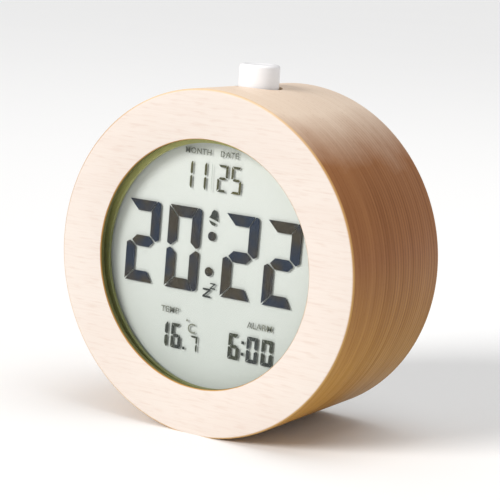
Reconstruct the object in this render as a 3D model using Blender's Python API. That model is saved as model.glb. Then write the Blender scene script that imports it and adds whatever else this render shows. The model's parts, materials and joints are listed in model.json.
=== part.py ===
"""Round wooden digital alarm clock, standing on a small flat under its drum.

Frame: metres, +Z up. The origin is on the table, under the middle of the drum. The display looks
along -Y and the battery door is at +Y. "Depth" below always means distance behind the front face.
Every piece is one object. A moving piece has its origin on its joint's axis.
"""

import math

import bmesh
import bpy
from mathutils import Matrix, Vector

MM = 0.001

# Case: a turned beech drum with a window in front and a bore behind it for the works.
CASE_DIAMETER = 90 * MM
CASE_DEPTH = 45 * MM
CASE_WALL = 8.5 * MM  # wood left around the bore
CASE_EDGE = 0.7 * MM  # rounding of the drum's outer edges
FOOT_FLAT = 0.5 * MM  # how much is planed off under the drum
WINDOW_DIAMETER = 64.4 * MM
WINDOW_EDGE = 0.35 * MM
LIP_THICKNESS = 1.5 * MM  # wood lip that holds the lens
REAR_SHOULDER = 4.8 * MM  # width of the ledge that the rear cover sits on
REAR_INSET = 1.1 * MM  # rear cover lies this far inside the drum
CASE_SEGMENTS = 64

# Clearances
GAP = 0.3 * MM  # between two pieces that rest on each other or slide in each other
PASS = 0.5 * MM  # around a stem or wire that passes through a hole
SLACK = 0.1 * MM  # added to a gap where moulded parts drop into the turned wood

# Display stack
LENS_THICKNESS = 1.2 * MM
BEZEL_THICKNESS = 1 * MM
BEZEL_REVEAL = 1 * MM  # bezel that shows inside the window
DISPLAY_DROP = 0.8 * MM  # the display's middle sits this far below the drum's axis
GLASS_THICKNESS = 0.7 * MM
GLASS_RIM = 2 * MM  # round edge of the display glass beyond the bezel's opening
GLASS_MARGIN = 0.3 * MM  # its flat top and bottom edges beyond the same opening
CONTACT_LEDGE = 3.2 * MM  # strip of the front glass left free for the connector strips
LIGHT_GUIDE_THICKNESS = 2 * MM
LIGHT_GUIDE_INSET = 5 * MM
LIGHT_GUIDE_CORNER = 10 * MM
ZEBRA_LENGTH = 20 * MM
ZEBRA_HEIGHT = 2.4 * MM
ZEBRA_DEPTH = 5.2 * MM
LED_WIDTH = 2.4 * MM
LED_HEIGHT = 3.2 * MM

# Works
FRAME_WALL = 1.4 * MM
BOARD_THICKNESS = 1.2 * MM
BOARD_MARGIN = 0.5 * MM
LUG_LENGTH = 5.9 * MM
LUG_WIDTH = 4.6 * MM
LUG_THICKNESS = 1.8 * MM
LUG_ANGLES = (45, 135, 225, 315)
SCREW_RADIUS = 0.9 * MM
SCREW_HEAD_RADIUS = 1.8 * MM
SCREW_HEAD_HEIGHT = 0.9 * MM
SCREW_LENGTH = 3.1 * MM
BUZZER_RADIUS = 6 * MM
BUZZER_HEIGHT = 9.5 * MM
BUZZER_HOLE = 1.1 * MM
BUZZER_HOLE_DEPTH = 1.5 * MM
BLOB_RADIUS = 6 * MM
BLOB_HEIGHT = 1.5 * MM
CRYSTAL_RADIUS = 1.1 * MM
CRYSTAL_LENGTH = 6 * MM
CAPACITOR_RADIUS = 2.5 * MM
CAPACITOR_HEIGHT = 7 * MM
THERMISTOR_RADIUS = 1.3 * MM
THERMISTOR_HEIGHT = 4.5 * MM
BUZZER_PLACE = (14 * MM, -12 * MM)  # these places are (x, height) from the drum's axis
CHIP_PLACE = (-2 * MM, 2 * MM)
CRYSTAL_PLACE = (-20 * MM, 4 * MM)
CAPACITOR_PLACE = (-16 * MM, -13 * MM)
THERMISTOR_PLACE = (0, -24 * MM)

# Snooze and light button on top
BUTTON_RADIUS = 5.35 * MM
BUTTON_RISE = 5.8 * MM  # above the top of the drum
BUTTON_EDGE = 0.9 * MM
BUTTON_DISH = 0.25 * MM
BUTTON_HOLE_GAP = 0.95 * MM
BUTTON_FLANGE = 2.15 * MM
BUTTON_FLANGE_HEIGHT = 1.5 * MM
BUTTON_STEM_RADIUS = 1.5 * MM
BUTTON_TRAVEL = 0.8 * MM
BUTTON_FREE_PLAY = 0.5 * MM  # between the button's stem and the switch under it
BUTTON_POCKET_DEPTH = 5 * MM  # flange pocket, measured outwards from the bore
SPRING_RADIUS = 3.9 * MM
SPRING_WIRE = 0.25 * MM
SPRING_TURNS = 3

# Push switches under every button
SWITCH_SIDE = 6 * MM
SWITCH_HEIGHT = 3.5 * MM
SWITCH_CORNER = 0.4 * MM
PLUNGER_RADIUS = 1.7 * MM
PLUNGER_RISE = 0.5 * MM
PLUNGER_WELL = 1.9 * MM
SHELF_HALF_WIDTH = 10.2 * MM
SHELF_HALF_DEPTH = 6 * MM
SHELF_WALL = 1.2 * MM
SNOOZE_BOARD_DROP = 10.1 * MM  # from inside the frame down to the shelf

# Rear cover, its buttons and the alarm switch
COVER_THICKNESS = 2.4 * MM
CONTROL_TRAVEL = 0.5 * MM
CONTROL_RADIUS = 2.5 * MM
CONTROL_RISE = 0.8 * MM
CONTROL_FLANGE = 0.8 * MM
CONTROL_FLANGE_HEIGHT = 1.2 * MM
CONTROL_PITCH = 8.2 * MM
CONTROL_NAMES = ("set_button", "up_button", "down_button", "mode_button")
CONTROL_BOARD_HEIGHT = 11.3 * MM
CONTROL_EDGE = 0.4 * MM
STAKE_RADIUS = 0.7 * MM
STAKE_POST_RADIUS = 1.3 * MM
STAKE_RISE = 0.6 * MM  # a stake's length past the board
SLIDER_TRAVEL = 2 * MM
SLIDER_BODY = (8.6 * MM, 3.6 * MM)
SLIDER_KNOB = (2.4 * MM, 2.2 * MM)
SLIDER_SHANK = (2 * MM, 1.2 * MM)
COVER_SCREW_LENGTH = 8 * MM
COVER_SCREW_HEAD_RADIUS = 1.5 * MM
COVER_SCREW_BEVEL = (0.3 * MM, 0.1 * MM)  # at the head's edge, across and along
SOUND_HOLE_RADIUS = 0.8 * MM
SOUND_HOLE_PITCH = 3 * MM
SOUND_HOLE_COUNT = 5

# Battery bay for three AAA cells
CELL_RADIUS = 5.25 * MM
CELL_LENGTH = 44.5 * MM
CELL_NUB_RADIUS = 1.9 * MM
CELL_NUB_LENGTH = 0.8 * MM
CELL_EDGE = 0.4 * MM
CELL_COUNT = 3
CELL_SPACING = 0.4 * MM
CELL_FLOOR_GAP = 0.4 * MM
CELL_DOOR_GAP = 0.6 * MM
BAY_WALL = 1.2 * MM
BAY_DROP = 4 * MM  # bay's middle below the drum's axis
CONTACT_SPRING_LENGTH = 3.6 * MM
CONTACT_SPRING_FOOT = 3.4 * MM  # radius at the contact plate
CONTACT_SPRING_TIP = 2.0 * MM  # radius at the cell
CONTACT_THICKNESS = 0.4 * MM
CONTACT_SIDE = 8 * MM
CONTACT_TURNS = 3
CONTACT_WIRE = 0.3 * MM
DOOR_THICKNESS = 1.6 * MM
DOOR_LEDGE = 1.3 * MM
DOOR_TAB = (6 * MM, 0.6 * MM, 0.8 * MM)  # width, thickness and reach below the door's edge
DOOR_TAB_PLACE = 16 * MM  # each side of the middle
DOOR_LIP = 0.6 * MM  # cover left outside a tab
DOOR_GRIP_RADIUS = 5 * MM
DOOR_GRIP_DEPTH = 0.6 * MM

# Leads
LEAD_RADIUS = 0.6 * MM
LEAD_DROP = 4 * MM  # straight stretch at a lead's end
LEAD_SLACK = 1.5 * MM  # sideways bow of a lead between its ends
RIBBON_THICKNESS = 0.6 * MM
RIBBON_WIDTH = 8 * MM
RIBBON_PLACE = -14 * MM
SNOOZE_RIBBON_WIDTH = 3 * MM

# Worked out from the sizes above
CASE_RADIUS = CASE_DIAMETER / 2
AXIS_HEIGHT = CASE_RADIUS - FOOT_FLAT
WINDOW_RADIUS = WINDOW_DIAMETER / 2
BORE_RADIUS = CASE_RADIUS - CASE_WALL
REAR_RADIUS = BORE_RADIUS + REAR_SHOULDER
WORKS_RADIUS = BORE_RADIUS - GAP - SLACK
FRAME_INNER_RADIUS = WORKS_RADIUS - FRAME_WALL

LENS_DEPTH = LIP_THICKNESS + GAP
BEZEL_DEPTH = LENS_DEPTH + LENS_THICKNESS + GAP
GLASS_DEPTH = BEZEL_DEPTH + BEZEL_THICKNESS + GAP
REAR_GLASS_DEPTH = GLASS_DEPTH + GLASS_THICKNESS + GAP
LIGHT_GUIDE_DEPTH = REAR_GLASS_DEPTH + GLASS_THICKNESS + GAP
ZEBRA_START = GLASS_DEPTH + GLASS_THICKNESS + GAP
MAIN_BOARD_DEPTH = ZEBRA_START + ZEBRA_DEPTH + GAP
MAIN_BOARD_BACK = MAIN_BOARD_DEPTH + BOARD_THICKNESS
BEZEL_OPENING = WINDOW_RADIUS - BEZEL_REVEAL
GLASS_RADIUS = BEZEL_OPENING + GLASS_RIM
GLASS_HALF = BEZEL_OPENING + GLASS_MARGIN

COVER_BACK = CASE_DEPTH - REAR_INSET
COVER_DEPTH = COVER_BACK - COVER_THICKNESS
SHOULDER_DEPTH = COVER_DEPTH - GAP
COVER_SCREW_RING = (BORE_RADIUS + REAR_RADIUS - GAP) / 2
SCREW_WELL_DEPTH = SCREW_HEAD_HEIGHT + GAP

DOOR_DEPTH = COVER_BACK - DOOR_THICKNESS
CELL_PITCH = 2 * CELL_RADIUS + CELL_SPACING
BAY_HALF_HEIGHT = (CELL_COUNT - 1) / 2 * CELL_PITCH + CELL_RADIUS + PASS / 2
BAY_HALF_LENGTH = (CELL_LENGTH + CONTACT_SPRING_LENGTH + 2 * CONTACT_THICKNESS + 5 * GAP) / 2
BAY_FLOOR = DOOR_DEPTH - CELL_DOOR_GAP - 2 * CELL_RADIUS - CELL_FLOOR_GAP
CELL_DEPTH = BAY_FLOOR + CELL_FLOOR_GAP + CELL_RADIUS
BAY_HEIGHT = AXIS_HEIGHT - BAY_DROP
BAY_TOP = BAY_HEIGHT + BAY_HALF_HEIGHT + BAY_WALL

CONTROL_BOARD_BOTTOM = BAY_TOP + PASS
CONTROL_HEIGHT = CONTROL_BOARD_BOTTOM + CONTROL_BOARD_HEIGHT / 2
CONTROL_FLANGE_DEPTH = COVER_DEPTH - GAP - CONTROL_FLANGE_HEIGHT
SWITCH_TOP_DEPTH = CONTROL_FLANGE_DEPTH - GAP - PLUNGER_RISE
CONTROL_BOARD_BACK = SWITCH_TOP_DEPTH - SWITCH_HEIGHT - GAP
CONTROL_BOARD_DEPTH = CONTROL_BOARD_BACK - BOARD_THICKNESS
CONTROL_LEFT = -2 * CONTROL_PITCH
CONTROL_BOARD_HALF_WIDTH = SWITCH_SIDE / 2 + GAP + 2 * STAKE_POST_RADIUS + SLACK - CONTROL_LEFT
SLIDER_CENTRE = CONTROL_LEFT + len(CONTROL_NAMES) * CONTROL_PITCH + SLACK

FRAME_TOP = AXIS_HEIGHT + WORKS_RADIUS
SHELF_TOP = AXIS_HEIGHT + FRAME_INNER_RADIUS - SNOOZE_BOARD_DROP
SNOOZE_SWITCH_BASE = SHELF_TOP + GAP + BOARD_THICKNESS + GAP
SNOOZE_SWITCH_TOP = SNOOZE_SWITCH_BASE + SWITCH_HEIGHT
BUTTON_POCKET_TOP = AXIS_HEIGHT + BORE_RADIUS + BUTTON_POCKET_DEPTH
BUTTON_FLANGE_TOP = BUTTON_POCKET_TOP - GAP
BUTTON_FLANGE_BOTTOM = BUTTON_FLANGE_TOP - BUTTON_FLANGE_HEIGHT
BUTTON_TOP = AXIS_HEIGHT + CASE_RADIUS + BUTTON_RISE
MIDDLE_DEPTH = CASE_DEPTH / 2


def clear_scene():
    for obj in list(bpy.data.objects):
        bpy.data.objects.remove(obj, do_unlink=True)


def material(name, colour, roughness, metallic=0.0, transmission=0.0):
    made = bpy.data.materials.new(name)
    made.use_nodes = True
    shader = made.node_tree.nodes["Principled BSDF"]
    shader.inputs["Base Color"].default_value = (*colour, 1)
    shader.inputs["Roughness"].default_value = roughness
    shader.inputs["Metallic"].default_value = metallic
    shader.inputs["Transmission Weight"].default_value = transmission
    return made


def at(x, depth, z):
    """World place of a point this far behind the front face."""
    return Vector((x, depth - CASE_DEPTH / 2, z))


def add_object(name, bm, finish, place=(0, 0, 0), along="Z"):
    """Object from a bmesh whose own axis is Z, laid along world X, Y or Z, with its origin at place."""
    bmesh.ops.remove_doubles(bm, verts=bm.verts, dist=1e-6)
    bmesh.ops.recalc_face_normals(bm, faces=bm.faces)
    mesh = bpy.data.meshes.new(name)
    bm.to_mesh(mesh)
    bm.free()
    mesh.shade_smooth()
    mesh.set_sharp_from_angle(angle=math.radians(35))
    if finish:
        mesh.materials.append(finish)
    obj = bpy.data.objects.new(name, mesh)
    bpy.context.scene.collection.objects.link(obj)
    obj.location = place
    obj.rotation_euler = {
        "Z": (0, 0, 0),
        "Y": (-math.pi / 2, 0, 0),
        "X": (0, math.pi / 2, 0),
    }[along]
    return obj


def turned(name, outline, finish, place=(0, 0, 0), along="Z", segments=32):
    """Solid of revolution. The outline is (radius, distance along the axis) points. It is closed by
    itself, or starts and ends on the axis."""
    bm = bmesh.new()
    points = [bm.verts.new((radius, 0, height)) for radius, height in outline]
    edges = [bm.edges.new(pair) for pair in zip(points, points[1:])]
    if outline[0][0] > 0 or outline[-1][0] > 0:
        edges.append(bm.edges.new((points[-1], points[0])))
    bmesh.ops.spin(
        bm,
        geom=points + edges,
        cent=(0, 0, 0),
        axis=(0, 0, 1),
        angle=2 * math.pi,
        steps=segments,
        use_merge=True,
    )
    return add_object(name, bm, finish, place, along)


def cylinder(name, radius, start, end, finish, place=(0, 0, 0), along="Z", segments=24):
    outline = [(0, start), (radius, start), (radius, end), (0, end)]
    return turned(name, outline, finish, place, along, segments)


def ring(name, inner, outer, start, end, finish, place=(0, 0, 0), along="Z", segments=32):
    outline = [(inner, start), (outer, start), (outer, end), (inner, end)]
    return turned(name, outline, finish, place, along, segments)


def prism(name, outline, start, end, finish, place=(0, 0, 0), along="Z"):
    """Flat outline of (x, y) points, extruded along the piece's own Z from start to end."""
    bm = bmesh.new()
    face = bm.faces.new([bm.verts.new((x, y, start)) for x, y in outline])
    raised = bmesh.ops.extrude_face_region(bm, geom=[face])["geom"]
    moved = [v for v in raised if isinstance(v, bmesh.types.BMVert)]
    bmesh.ops.translate(bm, verts=moved, vec=(0, 0, end - start))
    return add_object(name, bm, finish, place, along)


def block(name, size, finish, place):
    """Box with its middle at place."""
    bm = bmesh.new()
    bmesh.ops.create_cube(bm, size=1, matrix=Matrix.Diagonal((*size, 1)))
    return add_object(name, bm, finish, place)


def cut_corner_outline(half_width, half_height, corner):
    """Rectangle with its four corners cut off, counterclockwise."""
    w, h, c = half_width, half_height, corner
    return [
        (w, -h + c), (w, h - c), (w - c, h), (-w + c, h),
        (-w, h - c), (-w, -h + c), (-w + c, -h), (w - c, -h),
    ]  # fmt: skip


def arc(centre, radius, start, end, steps):
    """Points on an arc from start to end degrees, ends included."""
    angles = [math.radians(start + (end - start) * i / steps) for i in range(steps + 1)]
    return [(centre[0] + radius * math.cos(a), centre[1] + radius * math.sin(a)) for a in angles]


def combine(target, helper, operation):
    modifier = target.modifiers.new(helper.name, "BOOLEAN")
    modifier.operation = operation
    modifier.object = helper
    helper.hide_render = True
    helper.display_type = "WIRE"


def cut(target, helper):
    combine(target, helper, "DIFFERENCE")


def join(target, helper):
    combine(target, helper, "UNION")


def smooth_route(points, spacing):
    """Points about this far apart on a smooth curve through the given ones (Catmull-Rom)."""
    given = [Vector(p) for p in points]
    padded = [2 * given[0] - given[1], *given, 2 * given[-1] - given[-2]]
    route = [given[0]]
    for a, b, c, d in zip(padded, padded[1:], padded[2:], padded[3:]):
        steps = max(1, round((c - b).length / spacing))
        for i in range(1, steps + 1):
            t = i / steps
            route.append(
                (2 * b + (c - a) * t + (2 * a - 5 * b + 4 * c - d) * t**2 + (3 * b - a - 3 * c + d) * t**3)
                / 2
            )
    return route


def wire(name, points, radius, finish, place=(0, 0, 0)):
    """Round wire along the points, with closed ends."""
    curve = bpy.data.curves.new(name, "CURVE")
    curve.dimensions = "3D"
    curve.bevel_depth = radius
    curve.bevel_resolution = 1
    curve.use_fill_caps = True
    curve.materials.append(finish)
    spline = curve.splines.new("POLY")
    spline.points.add(len(points) - 1)
    for point, position in zip(spline.points, points):
        point.co = (*position, 1)
    obj = bpy.data.objects.new(name, curve)
    bpy.context.scene.collection.objects.link(obj)
    obj.location = place
    return obj


def helix(first_radius, last_radius, length, turns, steps=12):
    """Coil about +Z, whose radius goes evenly from the first to the last."""
    points = []
    for i in range(turns * steps + 1):
        share = i / (turns * steps)
        radius = first_radius + (last_radius - first_radius) * share
        angle = 2 * math.pi * turns * share
        points.append(Vector((radius * math.cos(angle), radius * math.sin(angle), length * share)))
    return points


def ribbon(name, points, width, thickness, finish):
    """Flat lead, as wide as width along X, along points in a plane of equal X."""
    bm = bmesh.new()
    rows = [[bm.verts.new(p + Vector((side * width / 2, 0, 0))) for side in (-1, 1)] for p in points]
    for first, second in zip(rows, rows[1:]):
        bm.faces.new((first[0], first[1], second[1], second[0]))
    obj = add_object(name, bm, finish)
    solidify = obj.modifiers.new("thickness", "SOLIDIFY")
    solidify.thickness = thickness
    solidify.offset = 0
    return obj


def ring_place(radius, degrees, depth):
    """Place on a circle about the drum's axis."""
    angle = math.radians(degrees)
    return at(radius * math.cos(angle), depth, AXIS_HEIGHT + radius * math.sin(angle))


BEECH = material("beech", (0.80, 0.62, 0.44), 0.55)
WHITE_PLASTIC = material("white_plastic", (0.86, 0.86, 0.87), 0.35)
COVER_PLASTIC = material("cover_plastic", (0.80, 0.80, 0.79), 0.5)
FRAME_PLASTIC = material("frame_plastic", (0.10, 0.11, 0.09), 0.6)
BEZEL_PLASTIC = material("bezel_plastic", (0.16, 0.18, 0.08), 0.45)
CLEAR_ACRYLIC = material("clear_acrylic", (0.95, 0.97, 0.96), 0.05, transmission=1)
DISPLAY_GLASS = material("display_glass", (0.72, 0.77, 0.73), 0.2)
LIGHT_GUIDE = material("light_guide", (0.86, 0.88, 0.86), 0.3, transmission=0.5)
ZEBRA_RUBBER = material("zebra_rubber", (0.75, 0.45, 0.50), 0.8)
CIRCUIT_BOARD = material("circuit_board", (0.03, 0.22, 0.08), 0.5)
BLACK_EPOXY = material("black_epoxy", (0.02, 0.02, 0.02), 0.4)
BLACK_PLASTIC = material("black_plastic", (0.03, 0.03, 0.03), 0.5)
NICKEL = material("nickel", (0.70, 0.69, 0.66), 0.3, metallic=1)
CELL_WRAP = material("cell_wrap", (0.16, 0.33, 0.20), 0.35)
CERAMIC = material("ceramic", (0.05, 0.16, 0.10), 0.5)
RED_PVC = material("red_pvc", (0.55, 0.03, 0.03), 0.5)
BLACK_PVC = material("black_pvc", (0.03, 0.03, 0.03), 0.5)
RIBBON_PVC = material("ribbon_pvc", (0.45, 0.46, 0.48), 0.5)

AXIS_FRONT = at(0, 0, AXIS_HEIGHT)  # where the drum's axis meets the front face
DISPLAY_FRONT = at(0, 0, AXIS_HEIGHT - DISPLAY_DROP)


def make_case():
    edge, lip = CASE_EDGE, WINDOW_EDGE
    outline = [
        *arc((WINDOW_RADIUS + lip, lip), lip, 180, 270, 1),
        *arc((CASE_RADIUS - edge, edge), edge, -90, 0, 2),
        *arc((CASE_RADIUS - edge, CASE_DEPTH - edge), edge, 0, 90, 2),
        (REAR_RADIUS, CASE_DEPTH),
        (REAR_RADIUS, SHOULDER_DEPTH),
        (BORE_RADIUS, SHOULDER_DEPTH),
        (BORE_RADIUS, LIP_THICKNESS),
        (WINDOW_RADIUS, LIP_THICKNESS),
    ]
    case = turned("wood_case", outline, BEECH, AXIS_FRONT, "Y", CASE_SEGMENTS)
    below = CASE_RADIUS
    cut(case, block("foot_cutter", (CASE_DIAMETER, 2 * CASE_DEPTH, below), None, (0, 0, -below / 2)))
    # One stepped cutter makes the button's hole and the wider pocket for its flange.
    hole_radius = BUTTON_RADIUS + BUTTON_HOLE_GAP
    pocket_radius = BUTTON_RADIUS + BUTTON_FLANGE + PASS
    pocket_start = AXIS_HEIGHT + BORE_RADIUS - CASE_WALL
    stepped = [
        (0, pocket_start),
        (pocket_radius, pocket_start),
        (pocket_radius, BUTTON_POCKET_TOP),
        (hole_radius, BUTTON_POCKET_TOP),
        (hole_radius, BUTTON_TOP),
        (0, BUTTON_TOP),
    ]
    cut(case, turned("button_hole_cutter", stepped, None, at(0, MIDDLE_DEPTH, 0), "Z", 24))
    for number, angle in enumerate(LUG_ANGLES, 1):
        pilot = cylinder(
            f"pilot_cutter_{number}", SCREW_RADIUS + GAP, SHOULDER_DEPTH - COVER_SCREW_LENGTH,
            SHOULDER_DEPTH + CASE_WALL, None, ring_place(COVER_SCREW_RING, angle, 0), "Y", 12,
        )  # fmt: skip
        cut(case, pilot)


def make_window():
    back = LENS_DEPTH + LENS_THICKNESS
    cylinder("lens", WORKS_RADIUS, LENS_DEPTH, back, CLEAR_ACRYLIC, AXIS_FRONT, "Y", 48)
    back = BEZEL_DEPTH + BEZEL_THICKNESS
    bezel = cylinder("display_bezel", WORKS_RADIUS, BEZEL_DEPTH, back, BEZEL_PLASTIC, AXIS_FRONT, "Y", 48)
    opening = cylinder(
        "bezel_cutter", BEZEL_OPENING, LENS_DEPTH, back + BEZEL_THICKNESS, None, DISPLAY_FRONT, "Y", 48
    )
    cut(bezel, opening)


def glass_outline(half_height):
    """Round glass with a flat cut across its top and its bottom."""
    corner = math.degrees(math.asin(half_height / GLASS_RADIUS))
    right = arc((0, 0), GLASS_RADIUS, -corner, corner, 14)
    left = arc((0, 0), GLASS_RADIUS, 180 - corner, 180 + corner, 14)
    return right + left


def make_display():
    glass_back = GLASS_DEPTH + GLASS_THICKNESS
    prism(
        "lcd_front_glass", glass_outline(GLASS_HALF), GLASS_DEPTH, glass_back, DISPLAY_GLASS,
        DISPLAY_FRONT, "Y",
    )  # fmt: skip
    height = GLASS_HALF - CONTACT_LEDGE
    glass_back = REAR_GLASS_DEPTH + GLASS_THICKNESS
    prism(
        "lcd_rear_glass", glass_outline(height), REAR_GLASS_DEPTH, glass_back, DISPLAY_GLASS,
        DISPLAY_FRONT, "Y",
    )  # fmt: skip
    half_width, half_height = GLASS_RADIUS - LIGHT_GUIDE_INSET, height - LIGHT_GUIDE_INSET
    guide = cut_corner_outline(half_width, half_height, LIGHT_GUIDE_CORNER)
    guide_back = LIGHT_GUIDE_DEPTH + LIGHT_GUIDE_THICKNESS
    prism("light_guide", guide, LIGHT_GUIDE_DEPTH, guide_back, LIGHT_GUIDE, DISPLAY_FRONT, "Y")
    led_depth = MAIN_BOARD_DEPTH - GAP - LIGHT_GUIDE_DEPTH
    led_reach = half_width + GAP + LED_WIDTH / 2
    led_place = DISPLAY_FRONT + Vector((-led_reach, LIGHT_GUIDE_DEPTH + led_depth / 2, 0))
    block("backlight_led", (LED_WIDTH, led_depth, LED_HEIGHT), WHITE_PLASTIC, led_place)
    middle = GLASS_HALF - (CONTACT_LEDGE - GAP) / 2
    for name, side in (("zebra_strip_upper", 1), ("zebra_strip_lower", -1)):
        place = DISPLAY_FRONT + Vector((0, ZEBRA_START + ZEBRA_DEPTH / 2, side * middle))
        block(name, (ZEBRA_LENGTH, ZEBRA_DEPTH, ZEBRA_HEIGHT), ZEBRA_RUBBER, place)


def make_inner_frame():
    frame = ring(
        "inner_frame", FRAME_INNER_RADIUS, WORKS_RADIUS, GLASS_DEPTH, SHOULDER_DEPTH - SLACK,
        FRAME_PLASTIC, AXIS_FRONT, "Y", CASE_SEGMENTS,
    )  # fmt: skip
    lug_back = MAIN_BOARD_DEPTH - GAP
    lug_reach = FRAME_WALL / 2
    for number, angle in enumerate(LUG_ANGLES, 1):
        middle = FRAME_INNER_RADIUS + lug_reach - (LUG_LENGTH + lug_reach) / 2
        lug = block(
            f"lug_{number}", (LUG_LENGTH + lug_reach, LUG_THICKNESS, LUG_WIDTH), None,
            ring_place(middle, angle, lug_back - LUG_THICKNESS / 2),
        )  # fmt: skip
        lug.rotation_euler = (0, -math.radians(angle), 0)
        join(frame, lug)
        hole = cylinder(
            f"lug_hole_{number}", SCREW_RADIUS + GAP, lug_back - 2 * LUG_THICKNESS, lug_back + LUG_THICKNESS,
            None, ring_place(board_screw_ring(), angle, 0), "Y", 12,
        )  # fmt: skip
        cut(frame, hole)
    shelf_width = 2 * SHELF_HALF_WIDTH
    shelf_depth = 2 * SHELF_HALF_DEPTH
    shelf_place = at(0, MIDDLE_DEPTH, SHELF_TOP - SHELF_WALL / 2)
    join(frame, block("shelf", (shelf_width, shelf_depth, SHELF_WALL), None, shelf_place))
    for name, side in (("shelf_wall_left", -1), ("shelf_wall_right", 1)):
        reach = FRAME_INNER_RADIUS + FRAME_WALL / 2
        top = AXIS_HEIGHT + math.sqrt(reach**2 - SHELF_HALF_WIDTH**2)
        bottom = SHELF_TOP - SHELF_WALL
        x = side * (SHELF_HALF_WIDTH - SHELF_WALL / 2)
        place = at(x, MIDDLE_DEPTH, (top + bottom) / 2)
        join(frame, block(name, (SHELF_WALL, shelf_depth - 2 * SLACK, top - bottom), None, place))
    stem_hole = cylinder(
        "stem_hole_cutter", BUTTON_STEM_RADIUS + PASS, FRAME_TOP - 4 * FRAME_WALL, FRAME_TOP + FRAME_WALL,
        None, at(0, MIDDLE_DEPTH, 0), segments=20,
    )  # fmt: skip
    cut(frame, stem_hole)


def board_screw_ring():
    """Radius of the circle that the main board's screws stand on."""
    return FRAME_INNER_RADIUS - LUG_LENGTH / 2 - PASS


def on_board(place):
    """Place from an (x, height) pair about the drum's axis, at the front face's depth."""
    return at(place[0], 0, AXIS_HEIGHT + place[1])


def make_main_board():
    radius = FRAME_INNER_RADIUS - BOARD_MARGIN
    board = cylinder(
        "main_board", radius, MAIN_BOARD_DEPTH, MAIN_BOARD_BACK, CIRCUIT_BOARD, AXIS_FRONT, "Y", 48
    )
    back = MAIN_BOARD_BACK + GAP
    for number, angle in enumerate(LUG_ANGLES, 1):
        place = ring_place(board_screw_ring(), angle, 0)
        hole = cylinder(
            f"board_hole_{number}", SCREW_RADIUS + GAP, MAIN_BOARD_DEPTH - BOARD_THICKNESS,
            MAIN_BOARD_BACK + BOARD_THICKNESS, None, place, "Y", 12,
        )  # fmt: skip
        cut(board, hole)
        make_board_screw(f"board_screw_{number}", back, place)
    buzzer_outline = [
        (0, back),
        (BUZZER_RADIUS, back),
        (BUZZER_RADIUS, back + BUZZER_HEIGHT),
        (BUZZER_HOLE, back + BUZZER_HEIGHT),
        (BUZZER_HOLE, back + BUZZER_HEIGHT - BUZZER_HOLE_DEPTH),
        (0, back + BUZZER_HEIGHT - BUZZER_HOLE_DEPTH),
    ]
    turned("buzzer", buzzer_outline, BLACK_PLASTIC, on_board(BUZZER_PLACE), "Y")
    dome = [
        (BLOB_RADIUS * math.cos(a), back + BLOB_HEIGHT * math.sin(a))
        for a in (math.radians(18 * i) for i in range(5))
    ]
    blob_outline = [(0, back), *dome, (0, back + BLOB_HEIGHT)]
    turned("controller_chip", blob_outline, BLACK_EPOXY, on_board(CHIP_PLACE), "Y", 20)
    crystal_place = on_board(CRYSTAL_PLACE) + Vector((0, back + CRYSTAL_RADIUS, 0))
    cylinder("crystal", CRYSTAL_RADIUS, 0, CRYSTAL_LENGTH, NICKEL, crystal_place, "X", 12)
    capacitor_back = back + CAPACITOR_HEIGHT
    place = on_board(CAPACITOR_PLACE)
    cylinder("capacitor", CAPACITOR_RADIUS, back, capacitor_back, BLACK_PLASTIC, place, "Y", 20)
    bead_start = back + THERMISTOR_HEIGHT - THERMISTOR_RADIUS
    bead = [
        (THERMISTOR_RADIUS * math.cos(a), bead_start + THERMISTOR_RADIUS * math.sin(a))
        for a in (math.radians(-60 + 30 * i) for i in range(5))
    ]
    stalk = THERMISTOR_RADIUS / 2
    bead_outline = [(0, back), (stalk, back), *bead, (0, back + THERMISTOR_HEIGHT)]
    turned("thermistor", bead_outline, CERAMIC, on_board(THERMISTOR_PLACE), "Y", 12)


def make_board_screw(name, under_head, place):
    """Small pan-head screw pointing forwards."""
    tip = under_head - SCREW_LENGTH
    head = under_head + SCREW_HEAD_HEIGHT
    outline = [
        (0, tip),
        (SCREW_RADIUS * 0.5, tip),
        (SCREW_RADIUS, tip + SCREW_RADIUS),
        (SCREW_RADIUS, under_head),
        (SCREW_HEAD_RADIUS, under_head),
        (SCREW_HEAD_RADIUS, head - SCREW_HEAD_HEIGHT / 3),
        (SCREW_HEAD_RADIUS * 0.8, head),
        (0, head),
    ]
    turned(name, outline, NICKEL, place, "Y", 12)


def make_push_switch(name, place, along):
    """Switch body with a well for its plunger. Its own Z points the way the plunger comes out, and
    place is the middle of its foot."""
    half = SWITCH_SIDE / 2
    square = cut_corner_outline(half, half, SWITCH_CORNER)
    body = prism(f"{name}_body", square, 0, SWITCH_HEIGHT, BLACK_PLASTIC, place, along)
    well = cylinder(
        f"{name}_well", PLUNGER_RADIUS + GAP, SWITCH_HEIGHT - PLUNGER_WELL, 2 * SWITCH_HEIGHT,
        None, place, along, 16,
    )  # fmt: skip
    cut(body, well)
    foot = SWITCH_HEIGHT - PLUNGER_WELL + max(CONTROL_TRAVEL, BUTTON_TRAVEL) + GAP
    top = SWITCH_HEIGHT + PLUNGER_RISE
    cylinder(f"{name}_plunger", PLUNGER_RADIUS, foot, top, WHITE_PLASTIC, place, along, 16)


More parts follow.
